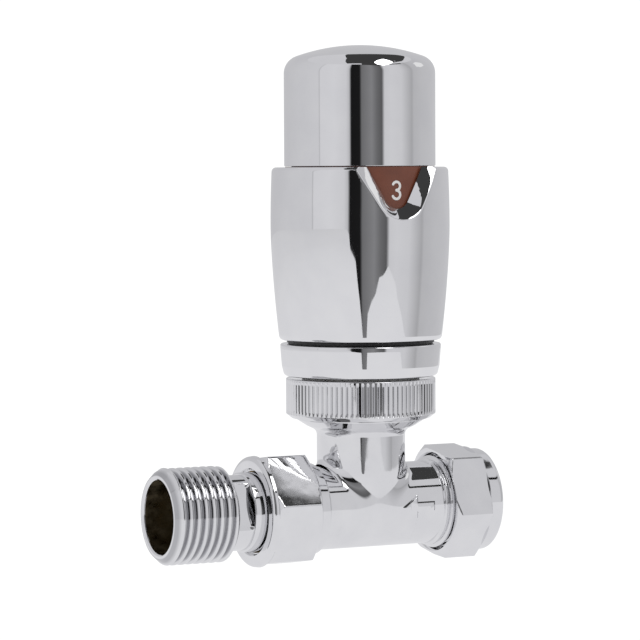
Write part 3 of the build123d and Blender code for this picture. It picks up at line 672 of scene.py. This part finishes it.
def arc(centre, radius, begin, sweep, steps=22):
    """Points on an arc, its angles in degrees."""
    points = []
    for step in range(steps + 1):
        angle = radians(begin + sweep * step / steps)
        points.append((centre[0] + radius * cos(angle), centre[1] + radius * sin(angle)))
    return points


def mark_strokes(mark):
    """The pen strokes of one mark of the dial, centred on the origin."""
    half = DIGIT_HEIGHT / 2 - PEN_WIDTH / 2
    bowl = half / 2
    if mark == "0":
        ring = arc((0, half - 1.2), 1.2, 0, 180) + arc((0, 1.2 - half), 1.2, 180, 180)
        return [ring + ring[:1]]
    if mark == "*":
        return [arc((0, 0.6), 1.1, angle, 180, 1) for angle in (30, 90, 150)]
    if mark == "1":
        return [[(-0.8, half - 0.8), (0.2, half), (0.2, -half)]]
    if mark == "2":
        return [arc((0, half - 1.15), 1.15, 170, -200) + [(-1.2, -half), (1.25, -half)]]
    if mark == "3":
        top = arc((0, bowl + 0.04), bowl - 0.04, 155, -245)
        return [top, arc((0, -bowl + 0.03), bowl, 90, -248)]
    if mark == "4":
        return [[(0.5, -half), (0.5, half), (-1.4, -0.8), (1.3, -0.8)]]
    return [[(1.1, half), (-0.9, half), (-1.0, 0.25)] + arc((-0.1, -half + 1.2), 1.2, 130, -280)]


def stroke_shell(stroke, turn, radius):
    """A flat pen stroke with round ends, laid on the number band at an angle about +Z."""
    dense = [stroke[0]]
    for before, after in zip(stroke, stroke[1:]):
        pieces = max(1, ceil(hypot(after[0] - before[0], after[1] - before[1]) / 0.12))
        for index in range(1, pieces + 1):
            part = index / pieces
            dense.append((
                before[0] + (after[0] - before[0]) * part, before[1] + (after[1] - before[1]) * part
            ))
    half = PEN_WIDTH / 2
    verts = []
    faces = []

    def add(across, up):
        """One point on the band."""
        verts.append(on_head(radius, turn + across / radius, DIGIT_Z + up))
        return len(verts) - 1

    previous = None
    for index, here in enumerate(dense):
        before = dense[max(index - 1, 0)]
        after = dense[min(index + 1, len(dense) - 1)]
        run = Vector((after[0] - before[0], after[1] - before[1])).normalized()
        sides = (
            add(here[0] - run.y * half, here[1] + run.x * half), add(*here),
            add(here[0] + run.y * half, here[1] - run.x * half),
        )
        if previous:
            faces.append((previous[0], previous[1], sides[1], sides[0]))
            faces.append((previous[1], previous[2], sides[2], sides[1]))
        previous = sides
        if index in (0, len(dense) - 1):
            away = atan2(run.y, run.x) + (pi if index == 0 else 0)
            rim = []
            for step in range(9):
                angle = away + pi * (step / 8 - 0.5)
                rim.append(add(here[0] + half * cos(angle), here[1] + half * sin(angle)))
            faces.extend((sides[1], a, b) for a, b in zip(rim, rim[1:]))
    return verts, faces


def make_marks():
    """White marks printed round the band, the 3 in the middle of the window."""
    marks = ["0", "*", "1", "2", "3", "4", "5"]
    shells = []
    for index, mark in enumerate(marks):
        turn = -pi / 2 + DIAL_TURN + (index - marks.index("3")) * MARK_STEP
        for layer, stroke in enumerate(mark_strokes(mark)):
            shells.append(stroke_shell(stroke, turn, BAND_R + 0.06 + 0.005 * layer))
    piece("dial_marks", joined(*shells), "head", "print", PRINT, ["numerals"])


# --- nuts ------------------------------------------------------------------------------------

def hexagon(corner_angle, low, high, blend=0.35):
    """A shape that trims a turned blank to the nut's hexagon between two X positions."""
    def trim(radius, angle, along):
        """The smaller of the turned radius and the hexagon's, with a softly rounded edge."""
        if radius < NUT_FLATS / 2 - 0.35 or not low <= along <= high:
            return radius
        turn = (angle - corner_angle + pi / 3) % (pi / 3) - pi / 6
        flat = NUT_FLATS / 2 / cos(turn)
        return smooth_min(radius, flat, blend)
    return trim


def make_pipe_nut():
    """The compression nut: hexagon, turned collar with a rounded mouth, cone inside."""
    hex_end = PIPE_NUT_LEFT + 8.7
    bore_end = PIPE_NUT_LEFT + 8.15
    outline = rounded([
        (11.1, PIPE_NUT_LEFT, 0.1), (12.1, PIPE_NUT_LEFT, 0.1), (NUT_CORNER_R, PIPE_NUT_LEFT + 0.85, 0.3),
        (NUT_CORNER_R, hex_end - 0.35, 0.2), (12.4, hex_end, 0.1), (11.4, hex_end + 0.05, 0.1),
        (11.4, PIPE_NUT_RIGHT, 1.0), (8.3, PIPE_NUT_RIGHT, 0.3), (7.7, PIPE_NUT_RIGHT - 0.6, 0.1),
        (7.7, PIPE_NUT_LEFT + 10.35, 0), (8.98, bore_end, 0), (NUT_BORE_R, bore_end, 0),
        (NUT_BORE_R, PIPE_NUT_LEFT + 0.7, 0.1),
    ])
    outline = divided(outline, 0.5)
    trim = hexagon(-NUT_TURN, PIPE_NUT_LEFT - 1, hex_end + 0.02)
    shell = swept(outline, 480, on_pipe, trim)
    piece("pipe_nut_shell", shell, "pipe_nut", "chrome_brass", CHROME_BRASS, ["compression_nut"], crease=40)


def make_union_nut():
    """The union nut: rounded collar with a stepped recess on the left, hexagon to the right."""
    hex_start = UNION_LEFT + UNION_COLLAR
    outline = rounded([
        (9.6, UNION_LEFT, 0.1), (12.1, UNION_LEFT, 0.9), (12.1, hex_start, 0.15),
        (12.35, hex_start, 0.1), (NUT_CORNER_R, hex_start + 0.7, 0.4),
        (NUT_CORNER_R, UNION_RIGHT - 1.25, 0.2), (11.1, UNION_RIGHT, 0.1),
        (NUT_BORE_R, UNION_RIGHT, 0.1), (NUT_BORE_R, -43.35, 0), (8.95, SHOULDER_END - 0.1, 0),
        (8.95, UNION_LEFT + 1.0, 0.05), (9.3, UNION_LEFT + 1.0, 0.05), (9.3, UNION_LEFT + 0.3, 0.1),
    ])
    outline = divided(outline, 0.5)
    trim = hexagon(NUT_TURN, hex_start - 0.02, UNION_RIGHT + 1)
    shell = swept(outline, 480, on_pipe, trim)
    piece("union_nut_shell", shell, "union_nut", "chrome_brass", CHROME_BRASS, ["union_nut"], crease=40)


# --- radiator tail ---------------------------------------------------------------------------

def thread_radius(helix_place, along):
    """Radius of the male thread, with its chamfered start and its run-out."""
    phase = (helix_place / THREAD_PITCH) % 1.0
    ridge = abs(phase - 0.5) * 2
    wave = smooth_step((ridge - 0.14) / 0.66)
    radius = TAIL_MAJOR_R - THREAD_DEPTH * (1 - wave)
    start = 9.15 + (along - TAIL_LEFT) * 0.95
    fade = smooth_step((along - TAIL_LEFT - 0.9) / 1.4)
    radius = start + (radius - start) * fade if along < TAIL_LEFT + 2.3 else radius
    end = TAIL_NECK_R + 0.9 + (THREAD_END + 0.55 - along) * 1.6
    return max(TAIL_NECK_R, smooth_min(smooth_min(radius, start, 0.25), end, 0.3))


def thread_shell(columns=216, rows_per_turn=20):
    """The threaded length, its rows running along the helix."""
    first = TAIL_LEFT - THREAD_PITCH
    last = THREAD_END + 0.6
    step = THREAD_PITCH / rows_per_turn
    rows = ceil((last - first) / step) + 1
    verts = []
    faces = []
    for column in range(columns):
        angle = 2 * pi * column / columns
        for row in range(rows):
            helix_place = first + row * step
            along = min(max(helix_place + THREAD_PITCH * column / columns, TAIL_LEFT), last)
            verts.append(on_pipe(thread_radius(helix_place, along), angle, along))
    for column in range(columns):
        ahead = (column + 1) % columns
        shift = rows_per_turn if ahead == 0 else 0
        for row in range(rows - 1):
            if row + 1 + shift < rows:
                faces.append((
                    column * rows + row, column * rows + row + 1,
                    ahead * rows + row + 1 + shift, ahead * rows + row + shift,
                ))
    return verts, faces


def make_tail():
    """The radiator tail: threaded mouth, neck with two spanner flats, shoulder and spigot."""
    def flats(radius, angle, along):
        """Two opposite flats on the neck, with softly rounded ends."""
        if not THREAD_END + 0.2 < along < TAIL_NECK_END - 0.02 or radius < FLAT_REACH:
            return radius
        turn = (angle - FLAT_TILT + pi / 2) % pi - pi / 2
        flat = FLAT_REACH / max(cos(turn), 0.3)
        return smooth_min(radius, flat, 0.12)

    outside = rounded([
        (MOUTH_BORE_R, THREAD_END, 0), (TAIL_NECK_R, THREAD_END, 0), (TAIL_NECK_R, TAIL_NECK_END, 0),
        (SHOULDER_R, TAIL_NECK_END, 0.25), (SHOULDER_R, SHOULDER_END, 0.1), (SPIGOT_R, SHOULDER_END, 0),
        (SPIGOT_R, TAIL_RIGHT, 0.4), (WATER_R, TAIL_RIGHT, 0), (WATER_R, THREAD_END, 0),
    ])
    neck = swept(divided(outside, 0.6), 360, on_pipe, flats)
    mouth = rounded([
        (MOUTH_BORE_R, TAIL_LEFT + 0.5, 0), (8.05, TAIL_LEFT + 0.3, 0.1), (8.35, TAIL_LEFT, 0.12),
        (9.15, TAIL_LEFT, 0.12), (9.15, TAIL_LEFT + 0.5, 0),
    ])
    rim = swept(mouth, 256, on_pipe)
    shell = joined(thread_shell(), neck, rim)
    piece("tail_shell", shell, "tail", "chrome_brass", TAIL_CHROME, ["radiator_tail"], crease=40)
    bore = [
        (MOUTH_BORE_R + 0.02, TAIL_LEFT + 0.35), (MOUTH_BORE_R, TAIL_LEFT + 1.2),
        (MOUTH_BORE_R, -59.8), (WATER_R, -58.0), (WATER_R - 0.04, TAIL_RIGHT),
    ]
    lining = swept(bore, 192, on_pipe, closed=False)
    # the bore's lining is darkened brass: painted shade inside the hole
    piece("tail_bore", lining, "tail", "raw_brass", BORE_SHADE_BRASS, crease=30, outward=False)


# --- valve body ------------------------------------------------------------------------------

def neck_radius(along):
    """Outside radius of the vertical neck, a little narrower where it meets the tube."""
    return NECK_R - 0.7 * (1 - smooth_step(along / 8.0))


def crossing_distance(x, y, z):
    """Signed distance to the tube and the neck, blended where they meet."""
    tube = hypot(y, z) - TUBE_R
    neck = hypot(x - HEAD_X, y) - neck_radius(max(z, 0.0))
    capped = -smooth_min(-neck, z + 0.4, 1.5)
    return smooth_min(tube, capped, 1.7)


def settled(point):
    """The point moved onto the blended surface along its slope."""
    x, y, z = point
    delta = 0.002
    for _ in range(5):
        here = crossing_distance(x, y, z)
        dx = (crossing_distance(x + delta, y, z) - here) / delta
        dy = (crossing_distance(x, y + delta, z) - here) / delta
        dz = (crossing_distance(x, y, z + delta) - here) / delta
        scale = here / max(dx * dx + dy * dy + dz * dz, 0.2)
        x, y, z = x - dx * scale, y - dy * scale, z - dz * scale
    return (x, y, z)


def crossing_shell(half_columns=120, neck_rows=26, tube_rows=110, top=NECK_TOP):
    """The neck down to the crease, and the stretch of tube under it."""
    crease = []
    for column in range(half_columns + 1):
        angle = pi * column / half_columns
        along = 5.0
        for _ in range(12):
            radius = min(neck_radius(along), TUBE_R - 0.02) if along < 1 else neck_radius(along)
            along = sqrt(max(TUBE_R ** 2 - (radius * sin(angle)) ** 2, 0.0))
        crease.append((angle, radius, along))

    verts = []
    faces = []
    for side in (1, -1):
        start = len(verts)
        for angle, radius, along in crease:
            for row in range(neck_rows + 1):
                part = (row / neck_rows) ** 1.5
                height = along + (top - along) * part
                reach = neck_radius(height)
                verts.append(settled((HEAD_X + reach * cos(angle), side * reach * sin(angle), height)))
        for column in range(half_columns):
            for row in range(neck_rows):
                here = start + column * (neck_rows + 1) + row
                faces.append((here, here + 1, here + neck_rows + 2, here + neck_rows + 1))
    start = len(verts)
    for angle, radius, along in crease:
        x = HEAD_X + radius * cos(angle)
        begin = atan2(along, radius * sin(angle))
        sweep = pi + 2 * begin
        for row in range(tube_rows + 1):
            turn = begin - sweep * row / tube_rows
            verts.append(settled((x, -TUBE_R * cos(turn), TUBE_R * sin(turn))))
    for column in range(half_columns):
        for row in range(tube_rows):
            here = start + column * (tube_rows + 1) + row
            faces.append((here, here + 1, here + tube_rows + 2, here + tube_rows + 1))
    return verts, faces


def plate_with_hole(x, radius, hole_radius, hole_z, depth_x, columns=96):
    """The bottom of a socket, with an off-centre round hole that runs back into the metal."""
    verts = []
    faces = []
    for column in range(columns):
        angle = 2 * pi * column / columns
        hole = (x, -hole_radius * cos(angle), hole_z + hole_radius * sin(angle))
        verts += [on_pipe(radius, angle, x), hole, (depth_x, hole[1], hole[2]), (depth_x, 0, hole_z)]
    for column in range(columns):
        ahead = 4 * ((column + 1) % columns)
        for row in range(3):
            faces.append((4 * column + row, 4 * column + row + 1, ahead + row + 1, ahead + row))
    return verts, faces


def make_body():
    """The valve body: tee of tube and neck, threads, flange, sockets and flow arrow."""
    reach = TUBE_R + 0.02
    left_edge, right_edge = HEAD_X - reach, HEAD_X + reach
    left = rounded([
        (TAIL_SOCKET_R, TAIL_SOCKET_END, 0), (TAIL_SOCKET_R, -38.23, 0), (9.45, BODY_LEFT, 0.05),
        (9.9, BODY_LEFT, 0.05), (BODY_THREAD_R, BODY_LEFT + 0.4, 0.05),
        (BODY_THREAD_R, LEFT_SHOULDER, 0.1), (10.0, LEFT_SHOULDER, 0.05),
        (10.0, -33.75, 0.2), (TUBE_R, -33.35, 0.3), (TUBE_R, left_edge, 0),
    ])
    right = rounded([
        (TUBE_R, right_edge, 0), (TUBE_R, -5.3, 0.15), (9.75, -5.05, 0.2), (9.75, -4.45, 0.2),
        (9.35, -4.3, 0.08), (9.35, -4.1, 0.08), (BODY_THREAD_R, -3.75, 0.12),
        (BODY_THREAD_R, -3.2, 0.1), (9.6, -2.6, 0.1), (9.6, -2.2, 0.1), (BODY_THREAD_R, -1.7, 0.1),
        (BODY_THREAD_R, BODY_RIGHT - 0.3, 0.2), (10.0, BODY_RIGHT, 0.05),
        (8.95, BODY_RIGHT, 0), (8.95, 2.4, 0), (PIPE_SOCKET_R, 0, 0), (PIPE_SOCKET_R, PIPE_SOCKET_END, 0),
    ])
    flange = rounded([
        (NECK_R, NECK_TOP, 0), (NECK_R, 16.9, 1.6), (12.1, 18.0, 1.2), (FLANGE_R - 0.1, 19.35, 0.12),
        (FLANGE_R, 19.5, 0.05), (FLANGE_R, 19.75, 0.08), (13.95, 19.95, 0.05), (14.4, 20.2, 0.08),
        (HEAD_THREAD_R, 20.7, 0.1), (HEAD_THREAD_R, BODY_TOP_Z - 0.5, 0.1), (14.4, BODY_TOP_Z, 0.05),
        (11.2, BODY_TOP_Z, 0.05), (11.2, 21.0, 0), (8.1, 21.0, 0), (8.1, NECK_TOP, 0),
    ])
    shell = joined(
        crossing_shell(),
        swept(left, 256, on_pipe, closed=False),
        swept(right, 256, on_pipe, closed=False),
        swept(flange, 240, on_head, closed=False),
        plate_with_hole(PIPE_SOCKET_END, PIPE_SOCKET_R, 4.0, -2.9, -24.0),
        plate_with_hole(TAIL_SOCKET_END, TAIL_SOCKET_R, 3.6, 3.8, -27.4),
    )
    piece("body_shell", shell, "valve", "chrome_brass", CHROME_BRASS, ["valve_body"], crease=32)
    make_arrow()


def make_arrow():
    """The raised flow arrow on the front of the tube, pointing at the radiator."""
    tip, barb, tail, half_head, half_shaft = -15.5, -11.9, -7.7, 2.5, 1.0
    corners = [
        (tip, 0), (barb, half_head), (barb, half_shaft), (tail, half_shaft),
        (tail, -half_shaft), (barb, -half_shaft), (barb, -half_head),
    ]
    relief = [(-0.22, -0.05), (0.0, 0.08), (0.16, 0.28), (0.3, 0.34)]     # inset and height of each ring
    rings = []
    for inset, _ in relief:
        ring = []
        for index, corner in enumerate(corners):
            here = Vector(corner)
            back = (here - Vector(corners[index - 1])).normalized()
            ahead = (Vector(corners[(index + 1) % len(corners)]) - here).normalized()
            bend = Vector((back.y + ahead.y, -back.x - ahead.x)).normalized()
            scale = inset / max(bend.dot(Vector((ahead.y, -ahead.x))), 0.45)
            ring.append(here + bend * scale)
        rings.append(ring)

    points = []
    edges = []
    lift = []
    for ring, (_, height) in zip(rings, relief):
        begin = len(points)
        dense = []
        for index, here in enumerate(ring):
            after = ring[(index + 1) % len(ring)]
            pieces = max(1, ceil((after - here).length / 0.3))
            dense += [here.lerp(after, k / pieces) for k in range(pieces)]
        points += dense
        lift += [height] * len(dense)
        edges += [(begin + k, begin + (k + 1) % len(dense)) for k in range(len(dense))]
    made = delaunay_2d_cdt(points, edges, [], 1, 1e-6)
    verts = []
    for index, point in enumerate(made[0]):
        source = made[3][index][0] if made[3][index] else 0
        verts.append(on_pipe(TUBE_R + lift[source], point.y / TUBE_R, point.x))
    faces = [tuple(face) for face in made[2]]
    piece("flow_arrow", (verts, faces), "valve", "chrome_brass", CHROME_BRASS)


# --- studio ----------------------------------------------------------------------------------

def facing(azimuth):
    """Horizontal direction of an azimuth counted from -Y towards +X."""
    return Vector((sin(azimuth), -cos(azimuth), 0.0))


def camera_place():
    """Where the camera stands, in millimetres."""
    return Vector((HEAD_X, 0.0, CAMERA_HEIGHT)) + facing(CAMERA_AZIMUTH) * CAMERA_DISTANCE


def make_camera():
    """A long lens at the height of the sleeve's top, a little above the pipe."""
    data = bpy.data.cameras.new("camera")
    data.lens = CAMERA_LENS
    data.sensor_width = 36.0
    data.clip_start = 0.01
    data.clip_end = 20.0
    camera = bpy.data.objects.new("camera", data)
    bpy.context.scene.collection.objects.link(camera)
    place = camera_place()
    ahead = -facing(CAMERA_AZIMUTH)
    right = Vector((ahead.y, -ahead.x, 0.0))
    aim = Vector((HEAD_X, 0.0, 0.0)) - right * CAMERA_ASIDE
    aim.z = CAMERA_HEIGHT - CAMERA_DISTANCE * tan(CAMERA_DROP)
    look = (aim - place).to_track_quat("-Z", "Y").to_matrix()
    rolled = look @ Matrix.Rotation(CAMERA_ROLL, 3, "Z")
    camera.matrix_world = Matrix.Translation(place * MM) @ rolled.to_4x4()
    bpy.context.scene.camera = camera


def glowing(name, radiance, tint=(1.0, 1.0, 1.0)):
    """A studio surface of one steady brightness, faintly uneven."""
    material, nodes, links, shader = new_material(name)
    tone = noise(nodes, links, 3.0, 2.0)
    dim = tuple(channel * 0.96 for channel in tint)
    links.new(ramp(nodes, links, tone, [(0.3, dim), (0.7, tint)]), shader.inputs["Emission Color"])
    shader.inputs["Base Color"].default_value = (0.0, 0.0, 0.0, 1.0)
    shader.inputs["Specular IOR Level"].default_value = 0.0
    shader.inputs["Roughness"].default_value = 1.0
    shader.inputs["Emission Strength"].default_value = radiance
    return material


def panel(name, corners, material, seen=False):
    """A flat studio panel from its corners, in metres; unless seen, it shows only in reflections."""
    mesh = bpy.data.meshes.new(name)
    mesh.from_pydata(corners, [], [tuple(range(len(corners)))])
    made = bpy.data.objects.new(name, mesh)
    bpy.context.scene.collection.objects.link(made)
    mesh.materials.append(material)
    made.visible_camera = seen
    made.visible_glossy = not seen
    made.visible_shadow = False
    made.visible_diffuse = False
    return made


def beside(degrees_right, distance, height):
    """A place round the head, from degrees right of the camera, metres out and metres up."""
    out = facing(CAMERA_AZIMUTH + radians(degrees_right)) * distance
    return out.x + HEAD_X * MM, out.y, height


def card(name, outline, distance, material):
    """A standing card seen in the chrome, its corners in degrees right of the camera and degrees up."""
    corners = []
    for degrees_right, degrees_up in outline:
        corners.append(beside(degrees_right, distance, distance * tan(radians(degrees_up)) + EYE_Z))
    panel(name, corners, material)


def table(name, outline, height, material):
    """A level sheet seen in the chrome, its corners in degrees right of the camera and metres out."""
    corners = [beside(degrees_right, distance, height) for degrees_right, distance in outline]
    panel(name, corners, material)


def seen_in_flat(along, up):
    """Where the skylight's level is seen in the union nut's upper front flat, in metres.

    Along the flat 0 is its left end and 1 its right end; up it, 0 is its lower edge and 1 its upper one.
    """
    tilt = NUT_TURN + pi / 6
    normal = Vector((0.0, -cos(tilt), sin(tilt)))
    upwards = Vector((0.0, sin(tilt), cos(tilt)))
    left = UNION_LEFT + UNION_COLLAR
    place = Vector((left + (UNION_RIGHT - left) * along, 0.0, 0.0))
    place += normal * NUT_FLATS / 2 + upwards * NUT_FLATS / sqrt(3) * (up - 0.5)
    ray = (place - camera_place()).normalized().reflect(normal)
    spot = place + ray * (SKYLIGHT_Z / MM - place.z) / ray.z
    return tuple(spot * MM)


def table_paper():
    """The table's brightness: lightest below the part, fading outwards to the walls' tone."""
    material, nodes, links, shader = new_material("table_paper")
    place = nodes.new("ShaderNodeTexCoord")
    middle = nodes.new("ShaderNodeMapping")
    middle.inputs["Location"].default_value = (-HEAD_X * MM, 0.0, 0.0)
    reach = nodes.new("ShaderNodeVectorMath")
    reach.operation = "LENGTH"
    share = nodes.new("ShaderNodeMapRange")
    share.inputs["From Max"].default_value = 2.0
    links.new(place.outputs["Object"], middle.inputs["Vector"])
    links.new(middle.outputs["Vector"], reach.inputs["Vector"])
    links.new(reach.outputs["Value"], share.inputs["Value"])
    stops = [(at, (tone * 0.985, tone * 0.985, tone * 1.01)) for at, tone in TABLE_TONES]
    links.new(ramp(nodes, links, share.outputs["Result"], stops), shader.inputs["Emission Color"])
    shader.inputs["Base Color"].default_value = (0.0, 0.0, 0.0, 1.0)
    shader.inputs["Specular IOR Level"].default_value = 0.0
    shader.inputs["Emission Strength"].default_value = 1.0
    return material


def wall_paint():
    """The walls' brightness round the camera: pale, with the dark gap the camera looks through."""
    material, nodes, links, shader = new_material("wall_paint")
    place = nodes.new("ShaderNodeTexCoord")
    spin = nodes.new("ShaderNodeMapping")
    spin.inputs["Rotation"].default_value = (0.0, 0.0, -CAMERA_AZIMUTH)
    parts = nodes.new("ShaderNodeSeparateXYZ")
    angle = nodes.new("ShaderNodeMath")
    angle.operation = "ARCTAN2"
    share = nodes.new("ShaderNodeMapRange")
    share.inputs["From Min"].default_value = -pi
    share.inputs["From Max"].default_value = pi
    links.new(place.outputs["Object"], spin.inputs["Vector"])
    links.new(spin.outputs["Vector"], parts.inputs["Vector"])
    flip = nodes.new("ShaderNodeMath")
    flip.operation = "MULTIPLY"
    flip.inputs[1].default_value = -1.0
    links.new(parts.outputs["Y"], flip.inputs[0])
    links.new(parts.outputs["X"], angle.inputs[0])
    links.new(flip.outputs["Value"], angle.inputs[1])
    links.new(angle.outputs["Value"], share.inputs["Value"])
    stops = []
    for degrees_right, tone in WALL_TONES:
        stops.append(((degrees_right + 180) / 360, (tone * 0.985, tone * 0.985, tone * 1.015)))
    links.new(ramp(nodes, links, share.outputs["Result"], stops), shader.inputs["Emission Color"])
    shader.inputs["Base Color"].default_value = (0.0, 0.0, 0.0, 1.0)
    shader.inputs["Specular IOR Level"].default_value = 0.0
    shader.inputs["Emission Strength"].default_value = 1.0
    return material


def round_wall(distance, low, high):
    """A round wall about the part, seen only in the chrome, from low to high degrees."""
    verts = []
    count = 96
    for index in range(count):
        out = facing(2 * pi * index / count) * distance
        for up in (low, high):
            verts.append((out.x, out.y, EYE_Z + distance * tan(radians(up))))
    faces = []
    for index in range(count):
        after = 2 * ((index + 1) % count)
        faces.append((2 * index, 2 * index + 1, after + 1, after))
    mesh = bpy.data.meshes.new("round_wall")
    mesh.from_pydata(verts, [], faces)
    wall = bpy.data.objects.new("round_wall", mesh)
    bpy.context.scene.collection.objects.link(wall)
    wall.location = (HEAD_X * MM, 0.0, 0.0)
    mesh.materials.append(wall_paint())
    wall.visible_camera = False
    wall.visible_diffuse = False
    wall.visible_shadow = False


EYE_Z = 0.05      # the cards' elevations are counted from the middle of the part
WALL_TONES = [    # degrees right of the camera, and brightness
    (-180, 0.58), (-142, 0.60), (-108, 0.64), (-64.1, 0.67), (-63.5, 0.40), (-62.9, 0.71), (-39, 0.73),
    (-20, 0.68), (-14.6, 0.52), (-13.6, 0.01), (0.6, 0.012), (3, 0.17), (18, 0.25), (26, 0.16),
    (34, 0.11), (38, 0.66), (48, 0.69), (66, 0.66), (80, 0.50), (86, 0.43), (90, 0.52), (108, 0.56),
    (150, 0.60), (180, 0.58),
]


# brightness of the table, from below the part (0) to two metres out (1)
TABLE_TONES = [(0.0, 0.80), (0.12, 0.79), (0.22, 0.76), (0.4, 0.70), (1.0, 0.655)]

# the edges below are in degrees right of the camera, and metres from the head's axis
TABLE_FAR_SIDE = [(degrees_right, 2.15) for degrees_right in range(-180, -30, 30)]
TABLE_NEAR_SIDE = [    # ragged on both sides of the gap in front of the camera
    (-35, 2.15), (-17, 1.8), (-13.8, 1.1), (-12.2, 0.65), (-5.6, 0.50), (-4.0, 0.38), (-2.4, 0.32),
    (1.1, 0.235), (3.6, 0.191), (5.7, 0.187), (8.0, 0.191), (8.6, 0.217), (9.5, 0.246), (14.5, 0.282),
    (19.5, 0.31), (22, 0.345), (24.4, 0.39), (29, 0.405), (33, 0.44), (36, 0.475), (39, 0.445),
    (41.6, 0.42), (47, 0.366), (49.5, 0.312), (56, 0.268), (61, 0.233), (67.6, 0.216), (88, 0.23),
    (110, 0.24), (140, 0.3), (160, 0.6),
]
CEILING_EDGE = [
    (-175, 0.36), (167, 0.43), (154, 0.37), (130, 0.29), (95.5, 0.31), (63, 0.335), (34, 0.54), (4, 0.43),
    (4, 0.31), (-23, 0.32), (-31, 0.22), (-90, 0.065),
]
LAMP_EDGE = [(88, 0.13), (50, 0.15), (31, 0.24), (31, 0.38), (40, 0.5), (52, 0.43), (70, 0.3)]
SKYLIGHT_Z = 0.4485    # just under the dark ceiling
SKYLIGHT_ON_FLAT = [   # along and up the union nut's flat that mirrors it
    (0.0, 1.15), (1.15, 1.15), (1.2, 0.3), (1.1, 0.12), (0.8, 0.12), (0.55, 0.16), (0.3, 0.28),
    (0.15, 0.5), (0.05, 0.8),
]


def make_studio():
    """Pale floor, an even surround, and the cards that give the chrome its contrast."""
    lowest = cad_box[0][2]
    size = 8.0
    white = glowing("white_paper", 1.08)
    square = [(-size, -size), (size, -size), (size, size), (-size, size)]
    panel("floor", [(x, y, lowest - 0.001) for x, y in square], white, seen=True)
    behind = [(-size, 5.0, -1.0), (size, 5.0, -1.0), (size, 5.0, 5.0), (-size, 5.0, 5.0)]
    panel("backdrop", behind, white, seen=True)

    world = bpy.data.worlds.new("surround")
    bpy.context.scene.world = world
    world.use_nodes = True
    background = world.node_tree.nodes["Background"]
    background.inputs["Color"].default_value = (0.97, 0.97, 1.0, 1.0)
    background.inputs["Strength"].default_value = 0.68

    black = glowing("black_card", 0.008)
    dark = glowing("dark_card", 0.05)
    lamp = glowing("soft_lamp", 3.0)
    bright = glowing("bright_card", 0.86)

    table("table_top", TABLE_FAR_SIDE + TABLE_NEAR_SIDE, lowest - 0.0005, table_paper())
    round_wall(2.2, -30, 44)
    card("dark_rail", [(50, 43), (50, 39), (65, 39), (80, 39), (80, 43), (65, 43)], 2.1, black)
    card("side_lamp", [(102, 22), (112, 19), (124, 22), (127, 30), (118, 37), (106, 35)], 1.9, bright)
    table("dark_ceiling", CEILING_EDGE, 0.45, dark)
    table("soft_lamp", LAMP_EDGE, 0.44, lamp)
    skylight = [seen_in_flat(along, up) for along, up in SKYLIGHT_ON_FLAT]
    panel("skylight", skylight, glowing("sky_paper", 0.74, (0.97, 0.97, 1.0)))

    light = bpy.data.lights.new("overhead", "AREA")
    light.shape = "RECTANGLE"
    light.size = 1.6
    light.size_y = 1.6
    light.energy = 9.0
    over = bpy.data.objects.new("overhead", light)
    over.location = (0.0, -0.2, 1.6)
    over.visible_glossy = False
    bpy.context.scene.collection.objects.link(over)
    bpy.context.scene.view_settings.view_transform = "Standard"


make_camera()
make_studio()
dress_cad_nodes()
make_cap()
make_sleeve()
make_base_ring()
make_knurled_ring()
make_marks()
make_pipe_nut()
make_union_nut()
make_tail()
make_body()
